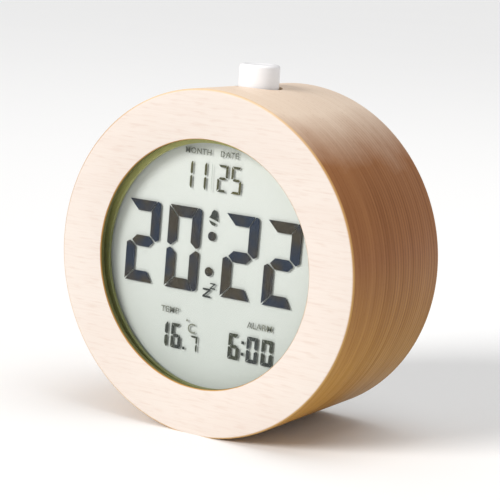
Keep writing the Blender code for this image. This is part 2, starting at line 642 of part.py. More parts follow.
def make_snooze_button():
    middle = at(0, MIDDLE_DEPTH, 0)
    shelf_gap = SHELF_TOP + GAP
    board_width = 2 * (SHELF_HALF_WIDTH - SHELF_WALL - GAP)
    board_size = (board_width, 2 * (SHELF_HALF_DEPTH - PASS), BOARD_THICKNESS)
    board_place = middle + Vector((0, 0, shelf_gap + BOARD_THICKNESS / 2))
    block("snooze_board", board_size, CIRCUIT_BOARD, board_place)
    make_push_switch("snooze_switch", middle + Vector((0, 0, SNOOZE_SWITCH_BASE)), "Z")
    # Heights below are measured from the button's own origin, on its axis at the drum's top.
    origin = AXIS_HEIGHT + CASE_RADIUS
    top = BUTTON_TOP - origin
    flange_top = BUTTON_FLANGE_TOP - origin
    flange_bottom = BUTTON_FLANGE_BOTTOM - origin
    stem_end = SNOOZE_SWITCH_TOP + PLUNGER_RISE + BUTTON_FREE_PLAY - origin
    flange_radius = BUTTON_RADIUS + BUTTON_FLANGE
    rim = BUTTON_RADIUS - BUTTON_EDGE
    outline = [
        (0, stem_end),
        (BUTTON_STEM_RADIUS, stem_end),
        (BUTTON_STEM_RADIUS, flange_bottom),
        (flange_radius, flange_bottom),
        (flange_radius, flange_top),
        (BUTTON_RADIUS, flange_top),
        *arc((rim, top - BUTTON_EDGE), BUTTON_EDGE, 0, 90, 3),
        (rim - BUTTON_DISH * 2, top - BUTTON_DISH),
        (0, top - BUTTON_DISH),
    ]
    turned("snooze_button", outline, WHITE_PLASTIC, at(0, MIDDLE_DEPTH, origin), "Z", 32)
    seat = FRAME_TOP + GAP + SPRING_WIRE
    length = BUTTON_FLANGE_BOTTOM - GAP - SPRING_WIRE - seat
    coil = helix(SPRING_RADIUS, SPRING_RADIUS, length, SPRING_TURNS)
    wire("snooze_spring", coil, SPRING_WIRE, NICKEL, at(0, MIDDLE_DEPTH, seat))


def make_rear_cover():
    cover = cylinder(
        "rear_cover", REAR_RADIUS - GAP - SLACK, COVER_DEPTH, COVER_BACK, COVER_PLASTIC, AXIS_FRONT, "Y",
        CASE_SEGMENTS,
    )  # fmt: skip
    outer_depth = COVER_DEPTH + COVER_THICKNESS / 4 - (BAY_FLOOR - BAY_WALL)
    half_length = BAY_HALF_LENGTH + BAY_WALL
    half_height = BAY_HALF_HEIGHT + BAY_WALL
    bay = block(
        "bay_shell", (2 * half_length, outer_depth, 2 * half_height), None,
        at(0, BAY_FLOOR - BAY_WALL + outer_depth / 2, BAY_HEIGHT),
    )  # fmt: skip
    join(cover, bay)
    inner_depth = COVER_BACK + BAY_WALL - BAY_FLOOR
    hollow = block(
        "bay_cutter", (2 * BAY_HALF_LENGTH, inner_depth, 2 * BAY_HALF_HEIGHT), None,
        at(0, BAY_FLOOR + inner_depth / 2, BAY_HEIGHT),
    )  # fmt: skip
    cut(cover, hollow)
    ledge_depth = DOOR_DEPTH - GAP
    recess_depth = COVER_BACK + BAY_WALL - ledge_depth
    recess_size = (2 * (BAY_HALF_LENGTH + DOOR_LEDGE), recess_depth, 2 * (BAY_HALF_HEIGHT + DOOR_LEDGE))
    recess_place = at(0, ledge_depth + recess_depth / 2, BAY_HEIGHT)
    cut(cover, block("door_recess_cutter", recess_size, None, recess_place))
    slot_size = (DOOR_TAB[0] + 2 * GAP, DOOR_TAB[1] + 2 * GAP, 2 * (DOOR_TAB[2] + GAP))
    slot_depth = COVER_BACK - DOOR_LIP - slot_size[1] / 2
    slot_height = BAY_HEIGHT - BAY_HALF_HEIGHT - DOOR_LEDGE
    for side in (-1, 1):
        slot_place = at(side * DOOR_TAB_PLACE, slot_depth, slot_height)
        cut(cover, block(f"tab_slot_cutter_{side + 1}", slot_size, None, slot_place))
    for number in range(len(CONTROL_NAMES)):
        x = CONTROL_LEFT + number * CONTROL_PITCH
        hole = cylinder(
            f"control_hole_{number}", CONTROL_RADIUS + GAP, COVER_DEPTH - COVER_THICKNESS,
            COVER_BACK + COVER_THICKNESS, None, at(x, 0, CONTROL_HEIGHT), "Y", 20,
        )  # fmt: skip
        cut(cover, hole)
    slot_size = (SLIDER_KNOB[0] + SLIDER_TRAVEL + 2 * GAP, 3 * COVER_THICKNESS, SLIDER_KNOB[1] + 2 * GAP)
    slot_place = at(SLIDER_CENTRE, (COVER_DEPTH + COVER_BACK) / 2, CONTROL_HEIGHT)
    cut(cover, block("slider_slot_cutter", slot_size, None, slot_place))
    hole, well = SCREW_RADIUS + GAP, COVER_SCREW_HEAD_RADIUS + GAP
    well_depth = COVER_BACK - SCREW_WELL_DEPTH
    stepped = [
        (0, COVER_DEPTH - COVER_THICKNESS),
        (hole, COVER_DEPTH - COVER_THICKNESS),
        (hole, well_depth),
        (well, well_depth),
        (well, COVER_BACK + COVER_THICKNESS),
        (0, COVER_BACK + COVER_THICKNESS),
    ]
    for number, angle in enumerate(LUG_ANGLES, 1):
        place = ring_place(COVER_SCREW_RING, angle, 0)
        cut(cover, turned(f"cover_screw_hole_{number}", stepped, None, place, "Y", 16))
    sound_height = (BAY_HEIGHT - half_height + AXIS_HEIGHT - WORKS_RADIUS) / 2
    for number in range(SOUND_HOLE_COUNT):
        x = (number - (SOUND_HOLE_COUNT - 1) / 2) * SOUND_HOLE_PITCH
        hole = cylinder(
            f"sound_hole_{number}", SOUND_HOLE_RADIUS, COVER_DEPTH - COVER_THICKNESS,
            COVER_BACK + COVER_THICKNESS, None, at(x, 0, sound_height), "Y", 12,
        )  # fmt: skip
        cut(cover, hole)
    for name, side in (("stake_post_left", -1), ("stake_post_right", 1)):
        x, z = stake_position(side)
        post = turned(
            name,
            [
                (0, CONTROL_BOARD_DEPTH - STAKE_RISE),
                (STAKE_RADIUS, CONTROL_BOARD_DEPTH - STAKE_RISE),
                (STAKE_RADIUS, CONTROL_BOARD_BACK + GAP),
                (STAKE_POST_RADIUS, CONTROL_BOARD_BACK + GAP),
                (STAKE_POST_RADIUS, COVER_DEPTH + COVER_THICKNESS / 4),
                (0, COVER_DEPTH + COVER_THICKNESS / 4),
            ],
            None, at(x, 0, z), "Y", 16,
        )  # fmt: skip
        join(cover, post)
    for number, angle in enumerate(LUG_ANGLES, 1):
        under_head = COVER_BACK - SCREW_WELL_DEPTH + GAP
        place = ring_place(COVER_SCREW_RING, angle, 0)
        make_cover_screw(f"cover_screw_{number}", under_head, place)


def make_cover_screw(name, under_head, place):
    """Long screw into the wood, its head sunk into the rear cover."""
    tip = under_head - COVER_SCREW_LENGTH
    head = under_head + SCREW_HEAD_HEIGHT - GAP
    radius = COVER_SCREW_HEAD_RADIUS
    outline = [
        (0, tip),
        (SCREW_RADIUS, tip + 1.5 * SCREW_RADIUS),
        (SCREW_RADIUS, under_head),
        (radius, under_head),
        (radius, head - COVER_SCREW_BEVEL[1]),
        (radius - COVER_SCREW_BEVEL[0], head),
        (0, head),
    ]
    screw = turned(name, outline, NICKEL, place, "Y", 16)
    for turn, label in ((45, "a"), (-45, "b")):
        slot_size = (radius * 1.2, SCREW_HEAD_HEIGHT * 0.8, SCREW_RADIUS * 0.45)
        slot = block(f"{name}_slot_{label}", slot_size, None, place + Vector((0, head, 0)))
        slot.rotation_euler = (0, math.radians(turn), 0)
        cut(screw, slot)


def stake_position(side):
    """(x, z) of the posts that hold the control board."""
    margin = STAKE_POST_RADIUS + SLACK  # from the board's edges to a post's middle
    return side * (CONTROL_BOARD_HALF_WIDTH - margin), CONTROL_BOARD_BOTTOM + margin


def make_controls():
    board_width = 2 * CONTROL_BOARD_HALF_WIDTH
    board = block(
        "control_board", (board_width, BOARD_THICKNESS, CONTROL_BOARD_HEIGHT), CIRCUIT_BOARD,
        at(0, CONTROL_BOARD_DEPTH + BOARD_THICKNESS / 2, CONTROL_HEIGHT),
    )  # fmt: skip
    for side in (-1, 1):
        x, z = stake_position(side)
        hole = cylinder(
            f"stake_hole_{side + 1}", STAKE_RADIUS + GAP, CONTROL_BOARD_DEPTH - BOARD_THICKNESS,
            CONTROL_BOARD_BACK + BOARD_THICKNESS, None, at(x, 0, z), "Y", 12,
        )  # fmt: skip
        cut(board, hole)
    foot = CONTROL_BOARD_BACK + GAP
    flange_end = CONTROL_FLANGE_DEPTH + CONTROL_FLANGE_HEIGHT
    top = COVER_BACK + CONTROL_RISE
    for number, name in enumerate(CONTROL_NAMES):
        x = CONTROL_LEFT + number * CONTROL_PITCH
        make_push_switch(name.replace("button", "switch"), at(x, foot, CONTROL_HEIGHT), "Y")
        origin = COVER_BACK
        outline = [
            (0, CONTROL_FLANGE_DEPTH - origin),
            (CONTROL_RADIUS + CONTROL_FLANGE, CONTROL_FLANGE_DEPTH - origin),
            (CONTROL_RADIUS + CONTROL_FLANGE, flange_end - origin),
            (CONTROL_RADIUS, flange_end - origin),
            (CONTROL_RADIUS, top - CONTROL_EDGE - origin),
            (CONTROL_RADIUS - CONTROL_EDGE, top - origin),
            (0, top - origin),
        ]
        turned(name, outline, WHITE_PLASTIC, at(x, origin, CONTROL_HEIGHT), "Y", 20)


def make_alarm_switch():
    foot = CONTROL_BOARD_BACK + GAP
    width, height = SLIDER_BODY
    body_place = at(SLIDER_CENTRE, foot + SWITCH_HEIGHT / 2, CONTROL_HEIGHT)
    body = block("alarm_switch_body", (width, SWITCH_HEIGHT, height), NICKEL, body_place)
    well_depth = PLUNGER_WELL
    well_size = (SLIDER_SHANK[0] + SLIDER_TRAVEL + 2 * GAP, 2 * well_depth, SLIDER_SHANK[1] + 2 * GAP)
    well_place = at(SLIDER_CENTRE, foot + SWITCH_HEIGHT, CONTROL_HEIGHT)
    cut(body, block("slider_well_cutter", well_size, None, well_place))
    # The knob rests at the -X end of its slot.
    x = SLIDER_CENTRE - SLIDER_TRAVEL / 2
    shank_foot = foot + SWITCH_HEIGHT - well_depth + GAP
    head_foot = foot + SWITCH_HEIGHT + GAP
    head_top = COVER_BACK + CONTROL_RISE
    head_depth = head_top - head_foot
    origin = at(x, COVER_BACK, CONTROL_HEIGHT)
    knob = block("alarm_switch_knob", (SLIDER_KNOB[0], head_depth, SLIDER_KNOB[1]), BLACK_PLASTIC, origin)
    knob.data.transform(Matrix.Translation((0, head_top - head_depth / 2 - COVER_BACK, 0)))
    shank_depth = head_foot - shank_foot + GAP
    shank = block(
        "slider_shank", (SLIDER_SHANK[0], shank_depth, SLIDER_SHANK[1]), None,
        at(x, shank_foot + shank_depth / 2, CONTROL_HEIGHT),
    )  # fmt: skip
    join(knob, shank)


def make_battery_door():
    """Door whose origin is on its hinge line, the outer edge at its bottom."""
    half_length = BAY_HALF_LENGTH + DOOR_LEDGE - GAP
    half_height = BAY_HALF_HEIGHT + DOOR_LEDGE - GAP
    hinge = at(0, COVER_BACK, BAY_HEIGHT - half_height)
    height = 2 * half_height
    panel = [(-half_length, 0), (half_length, 0), (half_length, -height), (-half_length, -height)]
    door = prism("battery_door", panel, -DOOR_THICKNESS, 0, COVER_PLASTIC, hinge, "Y")
    width, thickness, reach = DOOR_TAB
    for name, side in (("door_tab_left", -1), ("door_tab_right", 1)):
        depth = DOOR_LIP + GAP + thickness / 2
        size = (width, thickness, 2 * reach)
        place = hinge + Vector((side * DOOR_TAB_PLACE, -depth, 0))
        join(door, block(name, size, None, place))
    grip_height = BAY_HEIGHT + half_height - DOOR_GRIP_RADIUS * 0.55
    grip = cylinder(
        "grip_cutter", DOOR_GRIP_RADIUS, COVER_BACK - DOOR_GRIP_DEPTH, COVER_BACK + DOOR_GRIP_RADIUS,
        None, at(0, 0, grip_height), "Y", 24,
    )  # fmt: skip
    cut(door, grip)


def make_battery_bay():
    contact_x = BAY_HALF_LENGTH - GAP - CONTACT_THICKNESS / 2
    cell_reach = BAY_HALF_LENGTH - 2 * GAP - CONTACT_THICKNESS  # where a cell's nub ends
    for number in range(CELL_COUNT):
        height = BAY_HEIGHT + ((CELL_COUNT - 1) / 2 - number) * CELL_PITCH
        plus_side = 1 if number % 2 == 0 else -1
        body = CELL_LENGTH - CELL_NUB_LENGTH
        outline = [
            (0, 0),
            (CELL_RADIUS - CELL_EDGE, 0),
            (CELL_RADIUS, CELL_EDGE),
            (CELL_RADIUS, body - CELL_EDGE),
            (CELL_RADIUS - CELL_EDGE, body),
            (CELL_NUB_RADIUS, body),
            (CELL_NUB_RADIUS, CELL_LENGTH),
            (0, CELL_LENGTH),
        ]
        minus_end = plus_side * (cell_reach - CELL_LENGTH)
        foot = at(minus_end, CELL_DEPTH, height)
        cell = turned(f"battery_cell_{number + 1}", outline, CELL_WRAP, foot, "X", 24)
        cell.rotation_euler = (0, plus_side * math.pi / 2, 0)
        foot_reach = contact_x - CONTACT_THICKNESS / 2 - GAP - CONTACT_WIRE
        length = foot_reach - (CELL_LENGTH - cell_reach) - CONTACT_WIRE - GAP
        coil = helix(CONTACT_SPRING_FOOT, CONTACT_SPRING_TIP, length, CONTACT_TURNS)
        foot = at(-plus_side * foot_reach, CELL_DEPTH, height)
        spring = wire(f"battery_spring_{number + 1}", coil, CONTACT_WIRE, NICKEL, foot)
        spring.rotation_euler = (0, plus_side * math.pi / 2, 0)
    step = CELL_PITCH
    contacts = (
        ("contact_negative", -1, 1.0, 1),
        ("contact_link_right", 1, 0.5, 2),
        ("contact_link_left", -1, -0.5, 2),
        ("contact_positive", 1, -1.0, 1),
    )
    for name, side, offset, cells in contacts:
        size = (CONTACT_THICKNESS, CONTACT_SIDE, CONTACT_SIDE + (cells - 1) * step)
        block(name, size, NICKEL, at(side * contact_x, CELL_DEPTH, BAY_HEIGHT + offset * step))


def make_leads():
    outside = BAY_HALF_LENGTH + BAY_WALL + GAP + LEAD_RADIUS
    board = MAIN_BOARD_BACK + GAP
    halfway = (CELL_DEPTH + board) / 2
    for name, side, offset, finish in (
        ("battery_lead_red", 1, -CELL_PITCH, RED_PVC),
        ("battery_lead_black", -1, CELL_PITCH, BLACK_PVC),
    ):
        height = BAY_HEIGHT + offset
        points = [
            at(side * outside, CELL_DEPTH, height),
            at(side * (outside + LEAD_RADIUS), CELL_DEPTH - LEAD_DROP, height),
            at(side * (outside - LEAD_SLACK), halfway, height + LEAD_SLACK),
            at(side * (outside - 3 * LEAD_SLACK), board + LEAD_DROP, height),
            at(side * (outside - 3 * LEAD_SLACK), board, height),
        ]
        wire(name, smooth_route(points, 5 * LEAD_RADIUS), LEAD_RADIUS, finish)
    start = CONTROL_BOARD_DEPTH - GAP
    points = [
        at(RIBBON_PLACE, start, CONTROL_HEIGHT),
        at(RIBBON_PLACE, start - LEAD_DROP, CONTROL_HEIGHT),
        at(RIBBON_PLACE, (start + board) / 2, CONTROL_HEIGHT - LEAD_SLACK),
        at(RIBBON_PLACE, board + LEAD_DROP, CONTROL_HEIGHT),
        at(RIBBON_PLACE, board, CONTROL_HEIGHT),
    ]
    route = smooth_route(points, 4 * RIBBON_THICKNESS)
    ribbon("control_ribbon", route, RIBBON_WIDTH, RIBBON_THICKNESS, RIBBON_PVC)
    height = SHELF_TOP + GAP + BOARD_THICKNESS + GAP + RIBBON_THICKNESS / 2
    start = MIDDLE_DEPTH - SHELF_HALF_DEPTH + 2 * PASS
    x = SHELF_HALF_WIDTH - SHELF_WALL - SNOOZE_RIBBON_WIDTH
    points = [
        at(x, start, height),
        at(x, (start + board) / 2, height + LEAD_SLACK / 2),
        at(x, board, height),
    ]
    route = smooth_route(points, 3 * RIBBON_THICKNESS)
    ribbon("snooze_ribbon", route, SNOOZE_RIBBON_WIDTH, RIBBON_THICKNESS, RIBBON_PVC)


clear_scene()
make_case()
make_window()
make_display()
make_inner_frame()
make_main_board()
make_snooze_button()
make_rear_cover()
make_controls()
make_alarm_switch()
make_battery_door()
make_battery_bay()
make_leads()
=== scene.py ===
import json
import math
import bmesh
import bpy
from mathutils import Matrix, Vector


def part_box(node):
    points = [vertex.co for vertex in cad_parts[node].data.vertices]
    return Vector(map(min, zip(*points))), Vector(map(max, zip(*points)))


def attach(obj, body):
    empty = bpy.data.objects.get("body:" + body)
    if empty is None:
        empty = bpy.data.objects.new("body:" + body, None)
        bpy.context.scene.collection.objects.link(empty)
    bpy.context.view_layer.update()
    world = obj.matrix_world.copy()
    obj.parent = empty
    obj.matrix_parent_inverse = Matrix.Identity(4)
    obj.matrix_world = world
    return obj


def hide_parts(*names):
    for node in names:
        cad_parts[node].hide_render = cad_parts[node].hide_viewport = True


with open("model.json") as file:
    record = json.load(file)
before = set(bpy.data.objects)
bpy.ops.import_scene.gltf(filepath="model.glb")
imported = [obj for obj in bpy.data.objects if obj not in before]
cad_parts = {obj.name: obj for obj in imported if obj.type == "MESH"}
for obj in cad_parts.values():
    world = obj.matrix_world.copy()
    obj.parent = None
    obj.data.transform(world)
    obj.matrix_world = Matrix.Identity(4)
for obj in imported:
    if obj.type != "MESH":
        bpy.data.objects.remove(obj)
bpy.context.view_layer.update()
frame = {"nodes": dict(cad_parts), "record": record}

mm = 0.001
caseLow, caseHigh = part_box("wood_case")
caseRadius = (caseHigh.x - caseLow.x) / 2
frontY, backY = caseLow.y, caseHigh.y
axisZ = caseHigh.z - caseRadius
print("frame loaded:", len(frame["nodes"]), "nodes")


def startMaterial(name, **settings):
    made = bpy.data.materials.new(name)
    made.use_nodes = True
    shader = made.node_tree.nodes["Principled BSDF"]
    for key, value in settings.items():
        shader.inputs[key.replace("_", " ")].default_value = value
    return made, made.node_tree, shader


def addNode(tree, kind, inputs=None, **settings):
    made = tree.nodes.new(kind)
    for key, value in settings.items():
        setattr(made, key, value)
    for key, value in (inputs or {}).items():
        if isinstance(value, bpy.types.NodeSocket):
            tree.links.new(value, made.inputs[key])
        else:
            made.inputs[key].default_value = value
    return made


def calc(tree, operation, first, second=0.0):
    return addNode(tree, "ShaderNodeMath", {0: first, 1: second}, operation=operation).outputs[0]


def mixColour(tree, share, first, second, blend="MIX"):
    first = first if isinstance(first, bpy.types.NodeSocket) else (*first, 1)
    second = second if isinstance(second, bpy.types.NodeSocket) else (*second, 1)
    node = addNode(tree, "ShaderNodeMix", {0: share, 6: first, 7: second}, data_type="RGBA", blend_type=blend)
    return node.outputs[2]


def objectPoint(tree, scale=(1, 1, 1), centre=(0, 0, 0)):
    place = addNode(tree, "ShaderNodeTexCoord")
    back = [-c * s for c, s in zip(centre, scale)]
    inputs = {"Vector": place.outputs["Object"], "Scale": scale, "Location": back}
    return addNode(tree, "ShaderNodeMapping", inputs).outputs["Vector"]


def splitPoint(tree, centre=(0, 0, 0)):
    return addNode(tree, "ShaderNodeSeparateXYZ", {0: objectPoint(tree, centre=centre)}).outputs


def noise(tree, scale, detail=3.0, rough=0.55, warp=0.0):
    vector = objectPoint(tree, scale)
    inputs = {"Vector": vector, "Scale": 1.0, "Detail": detail, "Roughness": rough, "Distortion": warp}
    return addNode(tree, "ShaderNodeTexNoise", inputs).outputs[0]


def between(tree, value, low, high, first=0.0, last=1.0):
    inputs = {0: value, 1: low, 2: high, 3: first, 4: last}
    return addNode(tree, "ShaderNodeMapRange", inputs, clamp=True).outputs[0]


def bumpOn(tree, shader, height, distance, strength=1.0):
    inputs = {"Height": height, "Distance": distance, "Strength": strength}
    tree.links.new(addNode(tree, "ShaderNodeBump", inputs).outputs[0], shader.inputs["Normal"])


# turned beech: pale long grain in front; darker sides, partly end grain and partly painted shade; top partly painted
# highlight; golden towards the bottom as painted bounce light
beech = {
    "front": (0.655, 0.585, 0.53),
    "frontFleck": (0.53, 0.385, 0.315),
    # top: pale long grain, lightened with a painted highlight
    "top": (0.79, 0.635, 0.50),
    # end grain at the sides, made darker with painted shade
    "endGrainAndShade": (0.335, 0.136, 0.044),
    # painted bounce light: golden tone on the underside
    "below": (0.455, 0.232, 0.032),
    # painted highlight along the edges
    "edge": (0.60, 0.38, 0.14),
    "lining": (0.50, 0.26, 0.07),
    # painted shade on the window's inner wall, deeper in
    "liningShade": (0.13, 0.13, 0.04),
    "ringShade": (0.62, 0.55, 0.50),
    "grainShade": (0.60, 0.50, 0.42),
    "poreShade": (0.55, 0.42, 0.34),
    "ringPitch": 1.3 * mm,
    "ringSway": 2.4 * mm,
    "crowdFrom": 10 * mm,
    "crowdTo": 22 * mm,
    "liningRadius": 32.4 * mm,
}


def makeBeech():
    made, tree, shader = startMaterial("turnedBeech", Specular_IOR_Level=0.2)
    place = objectPoint(tree, centre=(0, frontY, axisZ))
    parts = addNode(tree, "ShaderNodeSeparateXYZ", {0: place}).outputs
    flat = addNode(tree, "ShaderNodeVectorMath", {0: place, 1: (1, 0, 1)}, operation="MULTIPLY").outputs[0]
    radius = addNode(tree, "ShaderNodeVectorMath", {0: flat}, operation="LENGTH").outputs["Value"]
    facing = addNode(tree, "ShaderNodeTexCoord").outputs["Normal"]
    facingY = addNode(tree, "ShaderNodeSeparateXYZ", {0: facing}).outputs[1]
    flatness = calc(tree, "ABSOLUTE", facingY)
    frontShare = between(tree, flatness, 0.75, 0.98)
    # front: broad drifts, then short flecks lying along the grain
    drift = noise(tree, (18, 60, 90), 4.0)
    fleck = noise(tree, (160, 400, 1500), 2.0, 0.5)
    fleckShare = between(tree, fleck, 0.52, 0.72, 0.0, 0.36)
    hair = between(tree, noise(tree, (60, 300, 3200), 1.0), 0.50, 0.75, 0.0, 0.18)
    front = mixColour(tree, between(tree, drift, 0.35, 0.7, 0.0, 0.14), beech["front"], beech["frontFleck"])
    front = mixColour(tree, calc(tree, "MAXIMUM", fleckShare, hair), front, beech["frontFleck"])
    # rim: long grain above turns into end grain at the sides, darkened there with painted shade
    side = calc(tree, "DIVIDE", calc(tree, "ABSOLUTE", parts[0]), radius)
    height = calc(tree, "DIVIDE", parts[2], radius)
    endGrainShadeShare = between(tree, calc(tree, "ADD", side, calc(tree, "MULTIPLY", drift, 0.25)), 0.56, 0.90)
    rim = mixColour(tree, endGrainShadeShare, beech["top"], beech["endGrainAndShade"])
    # painted bounce light: the rim turns golden towards the bottom
    rim = mixColour(tree, between(tree, height, 0.15, -0.5, 0.0, 0.94), rim, beech["below"])
    # growth rings run round the drum at an even pitch, crowded towards the back and faded on top by a painted
    # highlight
    sway = calc(tree, "MULTIPLY", noise(tree, (26, 70, 26), 2.0), beech["ringSway"])
    ringTurn = calc(tree, "MULTIPLY", calc(tree, "ADD", parts[1], sway), 2 * math.pi / beech["ringPitch"])
    ringLine = between(tree, calc(tree, "SINE", ringTurn), 0.1, 1.0)
    # painted highlight: grain and rings fade on the top of the drum
    topHighlightFade = between(tree, height, 0.88, 0.45, 0.15, 1.0)
    crowd = between(tree, parts[1], beech["crowdFrom"], beech["crowdTo"], 0.18, 0.8)
    crowd = calc(tree, "MULTIPLY", crowd, topHighlightFade)
    pitch = 1 / beech["ringPitch"]
    rings = noise(tree, (14, 0.8 * pitch, 14), 3.0, 0.65, 0.08)
    fine = noise(tree, (60, 4.5 * pitch, 60), 2.0, 0.6)
    rim = mixColour(tree, calc(tree, "MULTIPLY", ringLine, crowd), rim, beech["ringShade"], "MULTIPLY")
    drifting = calc(tree, "MULTIPLY", between(tree, rings, 0.45, 0.70, 0.0, 0.55), topHighlightFade)
    rim = mixColour(tree, drifting, rim, beech["grainShade"], "MULTIPLY")
    grainShare = calc(tree, "MULTIPLY", between(tree, fine, 0.50, 0.72, 0.0, 0.55), topHighlightFade)
    rim = mixColour(tree, grainShare, rim, beech["grainShade"], "MULTIPLY")
    cells = objectPoint(tree, (520, 1500, 520))
    pores = addNode(tree, "ShaderNodeTexVoronoi", {"Vector": cells, "Scale": 1.0}).outputs["Distance"]
    poreShare = between(tree, pores, 0.24, 0.06, 0.0, 0.4)
    rim = mixColour(tree, poreShare, rim, beech["poreShade"], "MULTIPLY")
    colour = mixColour(tree, frontShare, rim, front)
    # golden band where the faces meet, a painted highlight along the edges
    edgeHighlightShare = calc(tree, "MULTIPLY", between(tree, flatness, 0.12, 0.4), between(tree, flatness, 0.97, 0.85))
    colour = mixColour(tree, calc(tree, "MULTIPLY", edgeHighlightShare, 0.5), colour, beech["edge"])
    # the warm wall inside the window, darkening further in as painted shade
    inside = between(tree, radius, 33 * mm, beech["liningRadius"])
    inside = calc(tree, "MULTIPLY", inside, between(tree, flatness, 0.9, 0.7))
    liningShadeShare = between(tree, parts[1], 0.35 * mm, 0.55 * mm)
    lining = mixColour(tree, liningShadeShare, beech["lining"], beech["liningShade"])
    colour = mixColour(tree, inside, colour, lining)
    tree.links.new(colour, shader.inputs["Base Color"])
    tree.links.new(between(tree, rings, 0.3, 0.7, 0.38, 0.56), shader.inputs["Roughness"])
    bumpOn(tree, shader, calc(tree, "ADD", fine, fleck), 0.03 * mm, 0.5)
    return made


def makePlastic(name, colour, shade, roughness=0.4, grain=900, depth=0.01, coat=0.0):
    made, tree, shader = startMaterial(name, Coat_Weight=coat, Coat_Roughness=0.12)
    broad = noise(tree, (45, 45, 45), 2.0)
    speck = noise(tree, (grain, grain, grain), 2.0)
    tone = mixColour(tree, between(tree, broad, 0.35, 0.7, 0.0, 0.5), colour, shade)
    tone = mixColour(tree, between(tree, speck, 0.55, 0.8, 0.0, 0.25), tone, shade)
    tree.links.new(tone, shader.inputs["Base Color"])
    tree.links.new(between(tree, broad, 0.3, 0.7, roughness - 0.06, roughness + 0.08), shader.inputs["Roughness"])
    bumpOn(tree, shader, speck, depth * mm, 0.6)
    return made


def makeMetal(name, colour, dull, roughness=0.26):
    made, tree, shader = startMaterial(name, Metallic=1.0)
    haze = noise(tree, (500, 500, 500), 4.0)
    brush = noise(tree, (300, 6000, 300), 2.0)
    tone = mixColour(tree, between(tree, haze, 0.4, 0.75, 0.0, 0.7), colour, dull)
    tree.links.new(tone, shader.inputs["Base Color"])
    tree.links.new(between(tree, brush, 0.3, 0.7, roughness - 0.08, roughness + 0.14), shader.inputs["Roughness"])
    bumpOn(tree, shader, brush, 0.004 * mm, 0.4)
    return made


# clear sheet: only its gloss shows, so the layers behind it stay readable
def makeClear(name, tint, clearest, glossiest):
    made, tree, shader = startMaterial(name, Roughness=0.03, Metallic=0.0)
    facing = addNode(tree, "ShaderNodeLayerWeight", {"Blend": 0.5}).outputs["Facing"]
    grazing = calc(tree, "POWER", facing, 4.0)
    smear = between(tree, noise(tree, (60, 60, 60), 3.0), 0.35, 0.75, 0.0, 0.006)
    share = between(tree, grazing, 0.0, 1.0, clearest, glossiest)
    tree.links.new(calc(tree, "ADD", share, smear), shader.inputs["Alpha"])
    drift = noise(tree, (30, 30, 30), 2.0)
    shaded = mixColour(tree, between(tree, drift, 0.3, 0.7), tint, [0.9 * c for c in tint])
    tree.links.new(shaded, shader.inputs["Base Color"])
    return made


# low and high are painted light: darker low down, lighter towards the top
reflectorTone = {
    "low": (0.455, 0.490, 0.455),
    "high": (0.575, 0.60, 0.56),
    "mist": (0.53, 0.56, 0.53),
    "grain": (0.9, 0.92, 0.9),
}


def makeReflector():
    made, tree, shader = startMaterial("displayReflector", Roughness=0.55)
    height = splitPoint(tree, (0, 0, axisZ))[2]
    mist = noise(tree, (35, 35, 35), 3.0)
    grain = noise(tree, (5200, 5200, 5200), 1.0)
    # painted light: the reflector lightens towards the top
    reflectorLightShare = between(tree, height, -28 * mm, 26 * mm)
    tone = mixColour(tree, reflectorLightShare, reflectorTone["low"], reflectorTone["high"])
    tone = mixColour(tree, between(tree, mist, 0.35, 0.7, 0.0, 0.25), tone, reflectorTone["mist"])
    tone = mixColour(tree, between(tree, grain, 0.5, 0.8, 0.0, 0.08), tone, reflectorTone["grain"])
    tree.links.new(tone, shader.inputs["Base Color"])
    bumpOn(tree, shader, grain, 0.003 * mm, 0.3)
    return made


# liquid crystal segments drift between brown and blue
def makeInk(name, warm, cool):
    made, tree, shader = startMaterial(name, Roughness=0.55, Specular_IOR_Level=0.2)
    drift = noise(tree, (150, 150, 120), 2.0)
    tone = mixColour(tree, between(tree, drift, 0.40, 0.60), warm, cool)
    tree.links.new(tone, shader.inputs["Base Color"])
    return made


# olive ring, darker in its lower half and lighter at the top: painted light and shade
bezelTone = {"low": (0.19, 0.20, 0.055), "high": (0.54, 0.54, 0.185), "drift": (0.12, 0.14, 0.04)}


def makeBezelPlastic():
    made, tree, shader = startMaterial("olivePlastic", Roughness=0.38)
    # painted light: the ring lightens towards the top
    upper = between(tree, splitPoint(tree, (0, 0, axisZ))[2], 2 * mm, 26 * mm)
    drift = between(tree, noise(tree, (80, 80, 80), 3.0), 0.35, 0.7, 0.0, 0.35)
    tone = mixColour(tree, upper, bezelTone["low"], bezelTone["high"])
    tone = mixColour(tree, drift, tone, bezelTone["drift"])
    tree.links.new(tone, shader.inputs["Base Color"])
    return made


def makeBoard():
    made, tree, shader = startMaterial("circuitBoard", Roughness=0.32, Coat_Weight=0.4, Coat_Roughness=0.15)
    tracks = addNode(tree, "ShaderNodeTexBrick", {
        "Vector": objectPoint(tree, (420, 420, 420)), "Scale": 1.0, "Mortar Size": 0.05,
        "Color1": (0.015, 0.14, 0.05, 1), "Color2": (0.02, 0.17, 0.06, 1), "Mortar": (0.05, 0.30, 0.11, 1),
    }).outputs[0]
    pads = addNode(tree, "ShaderNodeTexVoronoi", {"Vector": objectPoint(tree, (330, 330, 330)), "Scale": 1.0})
    tone = mixColour(tree, between(tree, pads.outputs["Distance"], 0.16, 0.12), tracks, (0.55, 0.52, 0.44))
    tree.links.new(tone, shader.inputs["Base Color"])
    return made


# sleeve printed with a plain band at its plus end, and a thin stripe beside the band
sleeve = {
    "body": (0.035, 0.06, 0.09), "band": (0.60, 0.36, 0.12), "stripe": (0.75, 0.75, 0.75), "scuff": (0.4, 0.4, 0.4),
}


